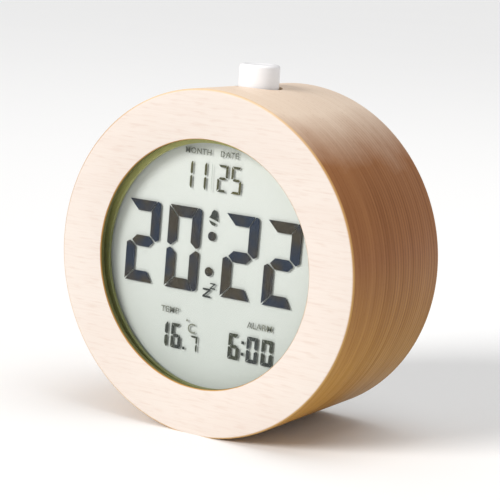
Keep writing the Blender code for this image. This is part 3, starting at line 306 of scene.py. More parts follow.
def makeCellWrap(name, plusSide):
    made, tree, shader = startMaterial(name, Roughness=0.3, Coat_Weight=0.5, Coat_Roughness=0.1)
    along = calc(tree, "MULTIPLY", splitPoint(tree)[0], plusSide)
    band = between(tree, along, 11.8 * mm, 12.0 * mm)
    stripe = between(tree, along, 10.8 * mm, 10.9 * mm)
    stripe = calc(tree, "MULTIPLY", stripe, between(tree, along, 11.4 * mm, 11.3 * mm))
    tone = mixColour(tree, band, sleeve["body"], sleeve["band"])
    tone = mixColour(tree, stripe, tone, sleeve["stripe"])
    scuff = between(tree, noise(tree, (150, 900, 900), 3.0), 0.55, 0.8, 0.0, 0.3)
    tone = mixColour(tree, scuff, tone, sleeve["scuff"])
    tree.links.new(tone, shader.inputs["Base Color"])
    return made


def makeRibbonPvc():
    made, tree, shader = startMaterial("ribbonPvc", Roughness=0.45)
    wires = addNode(tree, "ShaderNodeTexWave", {"Vector": objectPoint(tree, (157, 0, 0)), "Scale": 1.0})
    speck = noise(tree, (700, 700, 700))
    wireShare = between(tree, wires.outputs["Fac"], 0.35, 0.6)
    tone = mixColour(tree, wireShare, (0.42, 0.43, 0.45), (0.62, 0.62, 0.63))
    tone = mixColour(tree, between(tree, speck, 0.5, 0.8, 0.0, 0.2), tone, (0.3, 0.3, 0.32))
    tree.links.new(tone, shader.inputs["Base Color"])
    return made


woodFinish = makeBeech()
nickel = makeMetal("nickelPlate", (0.72, 0.71, 0.68), (0.48, 0.47, 0.45))
buttonWhite = makePlastic("buttonWhite", (0.87, 0.865, 0.875), (0.80, 0.785, 0.80), 0.32, 700, 0.004, 0.25)
coverWhite = makePlastic("coverSparkTexture", (0.80, 0.795, 0.775), (0.71, 0.70, 0.68), 0.58, 3600, 0.035)
blackGloss = makePlastic("blackPlastic", (0.022, 0.022, 0.024), (0.045, 0.044, 0.042), 0.42, 1500, 0.012)
slotFinish = {
    "beech": woodFinish,
    "button_white": buttonWhite,
    "cover_plastic": coverWhite,
    "frame_plastic": makePlastic("frameCharcoal", (0.055, 0.058, 0.05), (0.09, 0.09, 0.08), 0.5, 2200, 0.02),
    "bezel_plastic": makeBezelPlastic(),
    "lens_acrylic": makeClear("clearAcrylic", (0.30, 0.33, 0.31), 0.012, 0.40),
    "display_glass": makeClear("displayGlass", (0.80, 0.86, 0.82), 0.02, 0.30),
    "light_guide": makePlastic("milkyLightGuide", (0.78, 0.82, 0.80), (0.70, 0.75, 0.73), 0.3, 500, 0.004, 0.4),
    "zebra_rubber": makePlastic("contactRubber", (0.18, 0.17, 0.17), (0.07, 0.07, 0.07), 0.7, 4000, 0.01),
    "circuit_board": makeBoard(),
    "black_epoxy": makePlastic("blackEpoxy", (0.018, 0.018, 0.018), (0.035, 0.033, 0.03), 0.22, 350, 0.03, 0.6),
    "black_plastic": blackGloss,
    "nickel": nickel,
    "ceramic": makePlastic("thermistorBead", (0.30, 0.06, 0.03), (0.20, 0.04, 0.02), 0.35, 900, 0.01, 0.5),
    "red_pvc": makePlastic("redPvc", (0.45, 0.02, 0.02), (0.33, 0.015, 0.015), 0.4, 900, 0.01),
    "black_pvc": makePlastic("blackPvc", (0.02, 0.02, 0.02), (0.04, 0.04, 0.04), 0.4, 900, 0.01),
    "ribbon_pvc": makeRibbonPvc(),
}
for row in frame["record"]["subparts"]:
    if row["material_slot"] in slotFinish:
        node = frame["nodes"][row["node"]]
        node.data.materials.clear()
        node.data.materials.append(slotFinish[row["material_slot"]])
print("materials made and put on the CAD nodes")


# a place behind the front face, sideways from the drum's axis and up from the table
def at(x, depth, z):
    return Vector((x * mm, frontY + depth * mm, z * mm))


def toMesh(name, bm):
    mesh = bpy.data.meshes.new(name)
    bm.to_mesh(mesh)
    bm.free()
    return mesh


def linked(name, data):
    made = bpy.data.objects.new(name, data)
    bpy.context.scene.collection.objects.link(made)
    return made


def addInto(bm, extra):
    mesh = toMesh("extra", extra)
    bm.from_mesh(mesh)
    bpy.data.meshes.remove(mesh)


def finishPiece(name, bm, finish, body, stands=(), sharp=32):
    bmesh.ops.remove_doubles(bm, verts=bm.verts, dist=1e-7)
    bmesh.ops.recalc_face_normals(bm, faces=bm.faces)
    mesh = toMesh(name, bm)
    mesh.materials.append(finish)
    mesh.shade_smooth()
    mesh.set_sharp_from_angle(angle=math.radians(sharp))
    piece = linked(name, mesh)
    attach(piece, body)
    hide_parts(*stands)
    return piece


turnTo = {
    "Z": Matrix.Identity(4), "Y": Matrix.Rotation(-math.pi / 2, 4, "X"), "X": Matrix.Rotation(math.pi / 2, 4, "Y"),
}


# outline: (radius, distance along the axis); rims: (radius, distance, bevel width, segments), all in mm
def lathe(outline, rims=(), place=(0, 0, 0), along="Z", steps=96):
    bm = bmesh.new()
    points = [bm.verts.new((r * mm, 0, h * mm)) for r, h in outline]
    edges = [bm.edges.new(pair) for pair in zip(points, points[1:])]
    if outline[0][0] > 0:
        edges.append(bm.edges.new((points[-1], points[0])))
    bmesh.ops.spin(
        bm, geom=points + edges, cent=(0, 0, 0), axis=(0, 0, 1), angle=2 * math.pi, steps=steps, use_merge=True
    )
    bmesh.ops.remove_doubles(bm, verts=bm.verts, dist=1e-7)
    for radius, height, width, segments in rims:
        def onRim(v):
            return abs(math.hypot(v.co.x, v.co.y) - radius * mm) < 1e-6 and abs(v.co.z - height * mm) < 1e-6
        chosen = [e for e in bm.edges if all(onRim(v) for v in e.verts)]
        bmesh.ops.bevel(
            bm, geom=chosen, offset=width * mm, segments=segments, profile=0.5, affect="EDGES", material=-1
        )
    bmesh.ops.transform(bm, matrix=Matrix.Translation(place) @ turnTo[along], verts=bm.verts)
    bmesh.ops.recalc_face_normals(bm, faces=bm.faces)
    return bm


# box between two corners, with its edges bevelled
def box(low, high, bevel=0.0, segments=2):
    bm = bmesh.new()
    size, middle = high - low, (high + low) / 2
    bmesh.ops.create_cube(bm, size=1, matrix=Matrix.Translation(middle) @ Matrix.Diagonal((*size, 1)))
    if bevel:
        bmesh.ops.bevel(
            bm, geom=bm.edges[:], offset=bevel * mm, segments=segments, profile=0.5, affect="EDGES", material=-1
        )
    return bm


# outline of a plain disc or pin
def slab(radius, start, end):
    return [(0, start), (radius, start), (radius, end), (0, end)]


def combine(piece, bm, operation="DIFFERENCE"):
    tool = linked("tool", toMesh("tool", bm))
    step = piece.modifiers.new("cut", "BOOLEAN")
    step.operation, step.object, step.solver = operation, tool, "EXACT"
    result = bpy.data.meshes.new_from_object(piece.evaluated_get(bpy.context.evaluated_depsgraph_get()))
    piece.modifiers.remove(step)
    piece.data = result
    bpy.data.objects.remove(tool)


def drill(piece, radius, start, end, place, steps):
    combine(piece, lathe(slab(radius, start, end), place=place, along="Y", steps=steps))


def sharpen(piece):
    piece.data.set_sharp_from_angle(angle=math.radians(30))


def softenEdges(piece, width):
    step = piece.modifiers.new("soften", "BEVEL")
    step.width, step.segments, step.limit_method = width * mm, 2, "ANGLE"
    step.angle_limit, step.harden_normals, step.use_clamp_overlap = math.radians(30), True, True


# wood drum
drum = {"window": 32.2, "windowEdge": 0.35, "lip": 1.5, "bore": 36.5, "shoulder": 41.3, "shoulderDepth": 41.2,
        "edge": 0.7, "shoulderEdge": 0.25, "hole": 6.3, "pocket": 8.0, "pocketTop": 86.0,
        "screwRing": 38.75, "screwHole": 1.2, "screwFrom": 33}
radiusMm, depthMm, axisMm = caseRadius / mm, (backY - frontY) / mm, axisZ / mm
middleDepth = depthMm / 2
axisFront = at(0, 0, axisMm)
outline = [
    (drum["window"], 0), (radiusMm, 0), (radiusMm, depthMm), (drum["shoulder"], depthMm),
    (drum["shoulder"], drum["shoulderDepth"]), (drum["bore"], drum["shoulderDepth"]),
    (drum["bore"], drum["lip"]), (drum["window"], drum["lip"]),
]
rims = [
    (radiusMm, 0, drum["edge"], 4), (radiusMm, depthMm, drum["edge"], 4),
    (drum["window"], 0, drum["windowEdge"], 3), (drum["shoulder"], depthMm, drum["shoulderEdge"], 2),
]
woodDrum = finishPiece(
    "woodDrum", lathe(outline, rims, axisFront, "Y", 192), woodFinish, "clock", ["wood_case"], 30
)
combine(woodDrum, box(at(-60, -10, -20), at(60, 60, 0)))  # the flat it stands on
top = at(0, middleDepth, 0)
plunge = [(0, 70), (drum["pocket"], 70), (drum["pocket"], drum["pocketTop"])]
combine(woodDrum, lathe(plunge + [(drum["hole"], drum["pocketTop"]), (drum["hole"], 99), (0, 99)], place=top))
screwAngles = [math.radians(angle) for angle in (45, 135, 225, 315)]
screwPlaces = [
    at(drum["screwRing"] * math.cos(angle), 0, axisMm + drum["screwRing"] * math.sin(angle)) for angle in screwAngles
]
for place in screwPlaces:
    drill(woodDrum, drum["screwHole"], drum["screwFrom"], 50, place, 24)
sharpen(woodDrum)
print("wood drum done")


# bezel, and the pale reflector at the back of the display
def depthsOf(node):
    low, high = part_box(node)
    return (low.y - frontY) / mm, (high.y - frontY) / mm


bezelFront, bezelBack = depthsOf("display_bezel")
glassFront, glassBack = depthsOf("lcd_front_glass")
bezel = {"outer": 36.1, "opening": 31.9, "drop": 0.8}
displayFront = at(0, 0, axisMm - bezel["drop"])
bezelRing = finishPiece(
    "bezelRing",
    lathe(slab(bezel["outer"], bezelFront, bezelBack), place=axisFront, along="Y", steps=160),
    slotFinish["bezel_plastic"], "clock", ["display_bezel"],
)
drill(bezelRing, bezel["opening"], 1, 8, displayFront, 160)
sharpen(bezelRing)
reflector = {"radius": 33.0, "front": glassBack - 0.04, "back": glassBack + 0.04}
reflectorOutline = slab(reflector["radius"], reflector["front"], reflector["back"])
finishPiece(
    "reflectorFilm", lathe(reflectorOutline, place=displayFront, along="Y", steps=128),
    makeReflector(), "clock",
)
print("display surround done")

# readout: sizes in mm, places as (x, height) about the drum's axis
readout = {
    "front": glassFront + 0.05, "thickness": 0.06, "slant": 0.03, "shift": (0.0, 0.15),
    "time": {"width": 10.3, "height": 21.9, "stroke": 2.9, "gap": 0.35, "corner": 1.1},
    "date": {"width": 3.1, "height": 7.0, "stroke": 0.62, "gap": 0.24, "corner": 0.2},
    "temperature": {"width": 3.1, "height": 6.6, "stroke": 0.9, "gap": 0.12, "corner": 0.3},
    "tenth": {"width": 2.3, "height": 4.2, "stroke": 0.5, "gap": 0.14, "corner": 0.15},
    "alarm": {"width": 3.3, "height": 6.8, "stroke": 0.95, "gap": 0.12, "corner": 0.3},
}
litSegments = {"0": "abcdef", "1": "bc", "2": "abged", "5": "afgcd", "6": "afgedc", "7": "abc"}


# the upper half's shapes; the lower half is the same, mirrored about the middle
def segmentShapes(style):
    w, h, t = style["width"], style["height"], style["stroke"]
    s, m, half = style["gap"] / math.sqrt(2), h / 2, t / 2
    tuck = 0.4 * t  # the right-hand corners are rounded, so the bars stop short of them
    bar = [(s, h), (w - tuck - s, h), (w - t - s, h - t), (t + s, h - t)]
    point, heel = 0.38 * t, m + s + 0.2 * t  # the pointed ends beside the middle bar
    right = [(w, h), (w - tuck, h), (w - t, h - t), (w - t, m + half + s), (w - point, m + s), (w, heel)]
    left = [(0, h - s), (t, h - t - s), (t, m + half + s), (point, m + s), (0, heel)]
    middle = [
        (half + s, m), (t + s, m + half), (w - t - s, m + half),
        (w - half - s, m), (w - t - s, m - half), (t + s, m - half),
    ]
    lower = {"d": bar, "c": right, "e": left}
    shapes = {"a": bar, "b": right, "f": left, "g": middle}
    shapes.update({key: [(x, h - y) for x, y in shape] for key, shape in lower.items()})
    return shapes


def thicken(bm, faces, amount):
    raised = bmesh.ops.extrude_face_region(bm, geom=faces, use_keep_orig=True)["geom"]
    moved = [v for v in raised if isinstance(v, bmesh.types.BMVert)]
    bmesh.ops.translate(bm, verts=moved, vec=(0, amount * mm, 0))


def rectangle(left, foot, right, top):
    return [(left, foot), (right, foot), (right, top), (left, top)]


def ring(x, z, radius, steps):
    angles = [2 * math.pi * i / steps for i in range(steps)]
    return [(x + radius * math.cos(a), z + radius * math.sin(a)) for a in angles]


def addFlat(bm, points, corner=0.0):
    shift = readout["shift"]
    verts = [bm.verts.new(at(x + shift[0], readout["front"], axisMm + z + shift[1])) for x, z in points]
    face = bm.faces.new(verts)
    faces = [face]
    if corner:
        done = bmesh.ops.bevel(
            bm, geom=[verts[0]], offset=corner * mm, segments=5, profile=0.5, affect="VERTICES", material=-1
        )
        faces = [f for f in {f for v in done["verts"] for f in v.link_faces}]
    thicken(bm, faces, readout["thickness"])


# left and foot: where the digit's upright box has its lower left corner
def addDigit(bm, digit, style, left, foot):
    for key in litSegments[digit]:
        middle = style["height"] / 2
        points = [(left + x + readout["slant"] * (z - middle), foot + z) for x, z in segmentShapes(style)[key]]
        addFlat(bm, points, style["corner"] if key in "bc" else 0.0)


timeInk = makeInk("timeSegments", (0.040, 0.033, 0.022), (0.014, 0.022, 0.040))
smallInk = makeInk("smallSegments", (0.075, 0.07, 0.025), (0.05, 0.055, 0.035))
boldInk = makeInk("boldSegments", (0.04, 0.045, 0.03), (0.03, 0.035, 0.035))
paleInk = makeInk("printedLabels", (0.17, 0.18, 0.14), (0.14, 0.15, 0.13))

bm = bmesh.new()
for digit, left in zip("2022", (-27.1, -14.1, 3.6, 16.2)):
    addDigit(bm, digit, readout["time"], left, -8.3)
for x, z in ((-0.1, 6.9), (-0.5, -2.4)):
    addFlat(bm, ring(x, z, 1.2, 28))
# the clear front glass can't be seen by itself, so its segments stand for it
finishPiece("timeDigits", bm, timeInk, "clock", ["lcd_front_glass"])

bm = bmesh.new()
for digit, left in zip("1125", (-10.3, -5.95, 0.6, 4.8)):
    addDigit(bm, digit, readout["date"], left, 18.6)
finishPiece("dateDigits", bm, smallInk, "clock")

bm = bmesh.new()
for digit, left in zip("16", (-15.5, -11.3)):
    addDigit(bm, digit, readout["temperature"], left, -24.2)
addFlat(bm, rectangle(-7.5, -24.1, -6.8, -23.4))
addDigit(bm, "7", readout["tenth"], -5.2, -24.2)
for digit, left in zip("600", (6.8, 12.4, 16.9)):
    addDigit(bm, digit, readout["alarm"], left, -24.0)
for z in (-22.1, -19.1):
    addFlat(bm, rectangle(10.8, z - 0.4, 11.6, z + 0.4))
finishPiece("lowerDigits", bm, boldInk, "clock")

# bell: a dome and a clapper parted by a slanting light stripe; two sleeping letters below
bm = bmesh.new()
bell = [
    (-1.3, 11.7), (-0.7, 12.4), (-0.4, 13.2), (0.1, 13.8), (0.8, 13.7), (1.2, 12.8), (1.25, 11.8), (1.6, 10.9),
    (0.3, 11.3),
]
clapper = [(-1.2, 11.0), (0.1, 10.6), (1.0, 10.3), (0.6, 9.7), (-0.2, 9.8), (-0.9, 10.4)]
for shape in (bell, clapper):
    addFlat(bm, shape)
for x, z, size in ((-2.0, -9.2, 2.4), (0.2, -6.8, 1.6)):
    stroke = 0.2 * size
    low, high, end = z + stroke, z + 0.8 * size, x + size
    addFlat(bm, rectangle(x, high, end, z + size))
    addFlat(bm, [(x + 0.72 * size, high), (end, high), (x + 0.28 * size, low), (x, low)])
    addFlat(bm, rectangle(x, z, end, low))
finishPiece("displayIcons", bm, boldInk, "clock")


# words printed on the display: only the plain names of what each number is
def addWord(bm, word, left, foot, size, bold=0.02):
    curve = bpy.data.curves.new(word, "FONT")
    curve.body, curve.size, curve.offset, curve.resolution_u = word, size / 0.7, bold, 3
    curve.space_character = 1.08
    holder = linked(word, curve)
    flat = bpy.data.meshes.new_from_object(holder.evaluated_get(bpy.context.evaluated_depsgraph_get()))
    bpy.data.objects.remove(holder)
    letters = bmesh.new()
    letters.from_mesh(flat)
    bmesh.ops.transform(letters, matrix=Matrix.Diagonal((mm, mm, mm, 1)), verts=letters.verts)
    bmesh.ops.rotate(letters, verts=letters.verts, matrix=Matrix.Rotation(math.pi / 2, 3, "X"))
    shift = readout["shift"]
    place = at(left + shift[0], readout["front"], axisMm + foot + shift[1])
    bmesh.ops.translate(letters, verts=letters.verts, vec=place)
    thicken(letters, letters.faces[:], readout["thickness"])
    addInto(bm, letters)


bm = bmesh.new()
for word, left, foot, size in (
    ("MONTH", -9.8, 27.6, 1.5), ("DATE", 1.1, 27.6, 1.5), ("TEMP", -14.9, -15.0, 1.6), ("ALARM", 12.2, -15.0, 1.6),
    ("C", -6.2, -19.4, 2.6),
):
    addWord(bm, word, left, foot, size)
addFlat(bm, ring(-6.4, -16.2, 0.3, 12))
finishPiece("displayLabels", bm, paleInk, "clock")
bm = bmesh.new()
addFlat(bm, rectangle(-1.2, 18.4, -1.08, 25.4))
dividerInk = makeInk("dividerInk", (0.42, 0.48, 0.42), (0.38, 0.43, 0.38))
finishPiece("dateDivider", bm, dividerInk, "clock")
print("readout done")

# snooze button
button = {"radius": 5.35, "edge": 0.9, "dish": 0.25, "dishRadius": 3.2, "brim": 3.9, "flange": 7.5,
          "flangeThickness": 1.5, "stem": 1.5}
buttonLow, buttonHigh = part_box("snooze_button")
buttonTop, stemFoot = buttonHigh.z / mm, buttonLow.z / mm
dishFloor = buttonTop - button["dish"]
flangeTop = drum["pocketTop"] - 0.3
flangeFoot = flangeTop - button["flangeThickness"]
outline = [
    (0, stemFoot), (button["stem"], stemFoot), (button["stem"], flangeFoot), (button["flange"], flangeFoot),
    (button["flange"], flangeTop), (button["radius"], flangeTop), (button["radius"], buttonTop),
    (button["brim"], buttonTop), (button["dishRadius"], dishFloor), (0, dishFloor),
]
rims = [(button["radius"], buttonTop, button["edge"], 6), (button["dishRadius"], dishFloor, 0.4, 3)]
finishPiece("snoozeButton", lathe(outline, rims, top), buttonWhite, "snooze", ["snooze_button"], 40)
print("snooze button done")

# rear cover with the battery bay behind it
cover = {"radius": 40.9, "front": 41.5, "back": 43.9, "edge": 0.35, "cutFrom": 39, "cutTo": 46,
         "bayHalf": (25.2, 16.4), "bayHeight": 40.5, "bayFloor": 30.8, "bayJoin": 42.1, "wall": 1.2,
         "ledge": 1.3, "ledgeDepth": 42.0, "tabHole": (3.3, 1.1, 43.3),
         "controlHeight": 64.45, "buttonHole": 2.8, "sliderCentre": 16.5, "sliderHalf": (2.5, 1.4),
         "screwHead": 1.8, "screwSeat": 42.7,
         "soundHole": 0.8, "soundHoles": 5, "soundPitch": 3, "soundHeight": 15.65}
coverPlate = finishPiece(
    "coverPlate",
    lathe(slab(cover["radius"], cover["front"], cover["back"]),
          [(cover["radius"], cover["back"], cover["edge"], 3)], axisFront, "Y", 160),
    coverWhite, "clock", ["rear_cover"],
)
halfX, halfZ = cover["bayHalf"]
bayZ, controlZ = cover["bayHeight"], cover["controlHeight"]
cutFrom, cutTo = cover["cutFrom"], cover["cutTo"]
tabPlaces = (-16, 16)


# box round the battery bay, wider than its opening by the margin
def bayBox(margin, front, back):
    return box(at(-halfX - margin, front, bayZ - halfZ - margin), at(halfX + margin, back, bayZ + halfZ + margin))


combine(coverPlate, bayBox(cover["wall"], cover["bayFloor"] - cover["wall"], cover["bayJoin"]), "UNION")
combine(coverPlate, bayBox(0, cover["bayFloor"], cutTo))
combine(coverPlate, bayBox(cover["ledge"], cover["ledgeDepth"], cutTo))
tabHalf, tabRise, tabBack = cover["tabHole"]
ledgeFoot = bayZ - halfZ - cover["ledge"]
for x in tabPlaces:
    tabLow = at(x - tabHalf, cover["bayJoin"], ledgeFoot - tabRise)
    combine(coverPlate, box(tabLow, at(x + tabHalf, tabBack, ledgeFoot + tabRise)))
buttonPlaces = {"set": -16.4, "up": -8.2, "down": 0.0, "mode": 8.2}
for x in buttonPlaces.values():
    drill(coverPlate, cover["buttonHole"], cutFrom, cutTo, at(x, 0, controlZ), 48)
slideX, (slideHalf, slideRise) = cover["sliderCentre"], cover["sliderHalf"]
slideLow = at(slideX - slideHalf, cutFrom, controlZ - slideRise)
combine(coverPlate, box(slideLow, at(slideX + slideHalf, cutTo, controlZ + slideRise)))
well = [
    (0, cutFrom), (drum["screwHole"], cutFrom), (drum["screwHole"], cover["screwSeat"]),
    (cover["screwHead"], cover["screwSeat"]), (cover["screwHead"], cutTo), (0, cutTo),
]
for place in screwPlaces:
    combine(coverPlate, lathe(well, place=place, along="Y", steps=32))
for number in range(cover["soundHoles"]):
    x = (number - (cover["soundHoles"] - 1) / 2) * cover["soundPitch"]
    drill(coverPlate, cover["soundHole"], cutFrom, cutTo, at(x, 0, cover["soundHeight"]), 24)
sharpen(coverPlate)
softenEdges(coverPlate, 0.12)
print("rear cover done")

# battery door: bevelled panel, two tabs and a scooped grip with ribs
door = {"half": 26.2, "low": 23.1, "high": 57.9, "front": 42.3, "back": 43.9, "edge": 0.3,
        "grip": 5.0, "gripDepth": 0.6, "gripHeight": 55.15, "tab": (3, 0.8, 42.4, 43.0)}
doorBack, gripFloor = door["back"], door["back"] - door["gripDepth"]
panelLow, panelHigh = at(-door["half"], door["front"], door["low"]), at(door["half"], doorBack, door["high"])
doorPanel = finishPiece(
    "batteryDoorPanel", box(panelLow, panelHigh, door["edge"], 3),
    coverWhite, "door", ["battery_door"],
)
tabHalf, tabRise, tabFront, tabBack = door["tab"]
for x in tabPlaces:
    tabLow = at(x - tabHalf, tabFront, door["low"] - tabRise)
    combine(doorPanel, box(tabLow, at(x + tabHalf, tabBack, door["low"] + tabRise)), "UNION")
grip = [(0, gripFloor), (door["grip"] - 0.5, gripFloor), (door["grip"], doorBack + 1), (0, doorBack + 1)]
combine(doorPanel, lathe(grip, place=at(0, 0, door["gripHeight"]), along="Y", steps=64))
sharpen(doorPanel)
softenEdges(doorPanel, 0.08)
rib = {"count": 4, "half": 2.6, "foot": 52.2, "height": 0.45, "pitch": 1.15, "sunk": (0.62, 0.3), "edge": 0.12}
bm = bmesh.new()
for number in range(rib["count"]):
    foot = rib["foot"] + rib["pitch"] * number
    ribLow = at(-rib["half"], doorBack - rib["sunk"][0], foot)
    ribHigh = at(rib["half"], doorBack - rib["sunk"][1], foot + rib["height"])
    addInto(bm, box(ribLow, ribHigh, rib["edge"]))
finishPiece("doorGripRibs", bm, coverWhite, "door")
print("battery door done")


# flat marks moulded above the controls; points are (x, z) in mm
mark = {"above": 5.2, "half": 1.1, "ringInner": 0.75, "stroke": 0.18, "sunk": 0.02, "rise": 0.12}


def addMark(bm, points):
    face = bm.faces.new([bm.verts.new(at(x, cover["back"] - mark["sunk"], z)) for x, z in points])
    thicken(bm, [face], mark["rise"])


markInk = makePlastic("greyMarks", (0.20, 0.20, 0.20), (0.28, 0.28, 0.27), 0.5, 1500, 0.01)
bm = bmesh.new()
markZ, half, stroke = controlZ + mark["above"], mark["half"], mark["stroke"]
x = buttonPlaces["set"]
for start, end in ((0, 150), (180, 330)):  # two open arcs
    angles = [math.radians(start + (end - start) * i / 12) for i in range(13)]
    outer = [(x + half * math.cos(a), markZ + half * math.sin(a)) for a in angles]
    small = mark["ringInner"]
    inner = [(x + small * math.cos(a), markZ + small * math.sin(a)) for a in reversed(angles)]
    addMark(bm, outer + inner)
for name, way in (("up", 1), ("down", -1)):  # triangles
    x = buttonPlaces[name]
    addMark(bm, [(x - half, markZ - 0.8 * way), (x + half, markZ - 0.8 * way), (x, markZ + way)])
x = buttonPlaces["mode"]
for step in (-0.8, 0, 0.8):  # three bars
    addMark(bm, rectangle(x - half, markZ + step - stroke, x + half, markZ + step + stroke))
bell = [(-1.3, -0.8), (1.3, -0.8), (0.9, -0.2), (0.7, 0.8), (0, 1.2), (-0.7, 0.8), (-0.9, -0.2)]
addMark(bm, [(cover["sliderCentre"] + x, markZ + z) for x, z in bell])
finishPiece("controlMarks", bm, markInk, "clock")

key = {"flange": 3.3, "flangeThickness": 1.2, "radius": 2.5, "edge": 0.35, "dish": (1.7, 1.3, 0.15)}
for name, x in buttonPlaces.items():
    front, back = depthsOf(f"{name}_button")
    flangeBack = front + key["flangeThickness"]
    brim, dishRadius, dish = key["dish"]
    outline = [
        (0, front), (key["flange"], front), (key["flange"], flangeBack), (key["radius"], flangeBack),
        (key["radius"], back), (brim, back), (dishRadius, back - dish), (0, back - dish),
    ]
    finishPiece(
        f"{name}Button", lathe(outline, [(key["radius"], back, key["edge"], 4)], at(x, 0, controlZ), "Y", 64),
        buttonWhite, f"{name}_key", [f"{name}_button"], 40,
    )

# slide knob: stem is half width, depth and half height; groove is half width and depth
slider = {"headFrom": 2.0, "edge": 0.18, "stem": (1.0, 2.6, 0.6), "grooves": (-0.7, 0, 0.7),
          "groove": (0.14, 0.25)}
low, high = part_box("alarm_switch_knob")
middle = (low + high) / 2
knob = finishPiece(
    "alarmKnob", box(Vector((low.x, low.y + slider["headFrom"] * mm, low.z)), high, slider["edge"]),
    blackGloss, "alarm_knob", ["alarm_switch_knob"],
)
stemHalf, stemDeep, stemRise = (size * mm for size in slider["stem"])
stemLow = Vector((middle.x - stemHalf, low.y, middle.z - stemRise))
combine(knob, box(stemLow, Vector((middle.x + stemHalf, low.y + stemDeep, middle.z + stemRise))), "UNION")
grooveHalf, grooveDeep = (size * mm for size in slider["groove"])
for step in slider["grooves"]:
    x = middle.x + step * mm
    grooveLow = Vector((x - grooveHalf, high.y - grooveDeep, low.z - mm))
    combine(knob, box(grooveLow, Vector((x + grooveHalf, high.y + mm, high.z + mm))))

screw = {"head": 1.5, "headHeight": 0.6, "shank": 0.9, "point": 1.35, "edge": 0.25, "slot": (1.9, 0.42, 0.55)}
length, width, deep = screw["slot"]
for number, place in enumerate(screwPlaces, 1):
    tip, head = depthsOf(f"cover_screw_{number}")
    outline = [
        (0, tip), (screw["shank"], tip + screw["point"]), (screw["shank"], head - screw["headHeight"]),
        (screw["head"], head - screw["headHeight"]), (screw["head"], head), (0, head),
    ]
    made = finishPiece(
        f"coverScrew{number}", lathe(outline, [(screw["head"], head, screw["edge"], 3)], place, "Y", 48),
        nickel, "clock", [f"cover_screw_{number}"],
    )
    firstTurn = 20 + 31 * number
    for turn in (firstTurn, firstTurn + 90):
        slotBox = box(Vector((-length / 2, -deep, -width / 2)) * mm, Vector((length / 2, 1, width / 2)) * mm)
        turned = Matrix.Translation(place + Vector((0, head * mm, 0)))
        turned = turned @ Matrix.Rotation(math.radians(turn), 4, "Y")
        bmesh.ops.transform(slotBox, matrix=turned, verts=slotBox.verts)
        combine(made, slotBox)

cellShape = {"radius": 5.25, "edge": 0.35, "nub": 1.9, "nubHeight": 0.8, "nubEdge": 0.25, "dent": 0.25,
             "sink": 0.2, "steelRadius": 4.4}
for number in (1, 2, 3):
    node = f"battery_cell_{number}"
    low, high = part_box(node)
    plusSide = 1 if number % 2 else -1
    centre = (low + high) / 2
    half = (high.x - low.x) / 2 / mm
    shoulder, foot = half - cellShape["nubHeight"], -half + cellShape["dent"]
    outline = [
        (0, -half), (2.6, -half), (2.9, foot), (4.5, foot), (cellShape["radius"], foot),
        (cellShape["radius"], shoulder), (4.6, shoulder), (4.3, shoulder - cellShape["sink"]),
        (cellShape["nub"], shoulder - cellShape["sink"]), (cellShape["nub"], half), (0, half),
    ]
    rims = [
        (cellShape["radius"], foot, cellShape["edge"], 3), (cellShape["radius"], shoulder, cellShape["edge"], 3),
        (cellShape["nub"], half, cellShape["nubEdge"], 2),
    ]
    bm = lathe(outline, rims, (0, 0, 0), "X", 64)
    if plusSide < 0:
        bmesh.ops.rotate(bm, verts=bm.verts, matrix=Matrix.Rotation(math.pi, 3, "Z"))
    bmesh.ops.translate(bm, verts=bm.verts, vec=centre)
    wrap = makeCellWrap(f"cellSleeve{number}", plusSide)
    cell = finishPiece(f"cell{number}", bm, wrap, "clock", [node])
    cell.data.materials.append(nickel)
    for face in cell.data.polygons:  # bare steel ends
        fromAxis = math.hypot(face.center.y - centre.y, face.center.z - centre.z)
        if abs(face.normal.x) > 0.9 or fromAxis < cellShape["steelRadius"] * mm:
            face.material_index = 1
print("controls, screws and cells done")

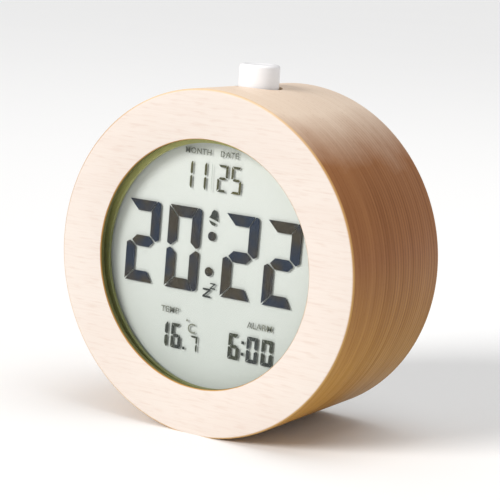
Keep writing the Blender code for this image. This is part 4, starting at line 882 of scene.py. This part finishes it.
# floor, light and camera
floorMaterial, tree, shader = startMaterial("paleFloor", Roughness=0.9)
floorDrift = between(tree, noise(tree, (3, 3, 3)), 0.3, 0.7, 0.0, 0.3)
tone = mixColour(tree, floorDrift, (0.93, 0.93, 0.93), (0.91, 0.91, 0.91))
tree.links.new(tone, shader.inputs["Base Color"])
bm = bmesh.new()
bmesh.ops.create_grid(bm, x_segments=1, y_segments=1, size=15)
mesh = toMesh("floor", bm)
mesh.materials.append(floorMaterial)
floor = linked("floor", mesh)

scene = bpy.context.scene
scene.view_settings.view_transform = "Standard"
scene.world = bpy.data.worlds.new("studio")
scene.world.use_nodes = True
background = scene.world.node_tree.nodes["Background"]
background.inputs["Color"].default_value = (0.985, 0.99, 1.0, 1)
background.inputs["Strength"].default_value = 0.50
lights = {
    "key": {"kind": "SUN", "place": (-0.60, -1.35, 0.82), "power": 2.8, "colour": (1, 0.99, 0.975), "spread": 24},
    "topFill": {"kind": "AREA", "place": (0.30, 0.05, 1.3), "power": 5, "colour": (1, 0.98, 0.95), "size": 0.9},
}
for name, light in lights.items():
    data = bpy.data.lights.new(name, light["kind"])
    data.energy, data.color = light["power"], light["colour"]
    if light["kind"] == "SUN":
        data.angle = math.radians(light["spread"])
    else:
        data.size = light["size"]
    lamp = linked(name, data)
    lamp.location = light["place"]
    toward = Vector((0, 0, axisZ)) - lamp.location
    lamp.rotation_euler = toward.to_track_quat("-Z", "Y").to_euler()

view = {"place": (0.2397, -0.3747, 0.1241), "azimuth": 32.57, "elevation": 9.96, "roll": 3.46, "lens": 122.4}
azimuth, elevation, roll = (math.radians(view[key]) for key in ("azimuth", "elevation", "roll"))
level = math.cos(elevation)
forward = Vector((-math.sin(azimuth) * level, math.cos(azimuth) * level, -math.sin(elevation)))
across = forward.cross(Vector((0, 0, 1))).normalized()
upward = across.cross(forward)
right = math.cos(roll) * across + math.sin(roll) * upward
up = -math.sin(roll) * across + math.cos(roll) * upward
cameraData = bpy.data.cameras.new("camera")
cameraData.lens, cameraData.sensor_width = view["lens"], 36
cameraData.clip_start, cameraData.clip_end = 0.01, 60
camera = linked("camera", cameraData)
camera.matrix_world = Matrix.Translation(view["place"]) @ Matrix((right, up, -forward)).transposed().to_4x4()
scene.camera = camera
print("floor, light and camera done")
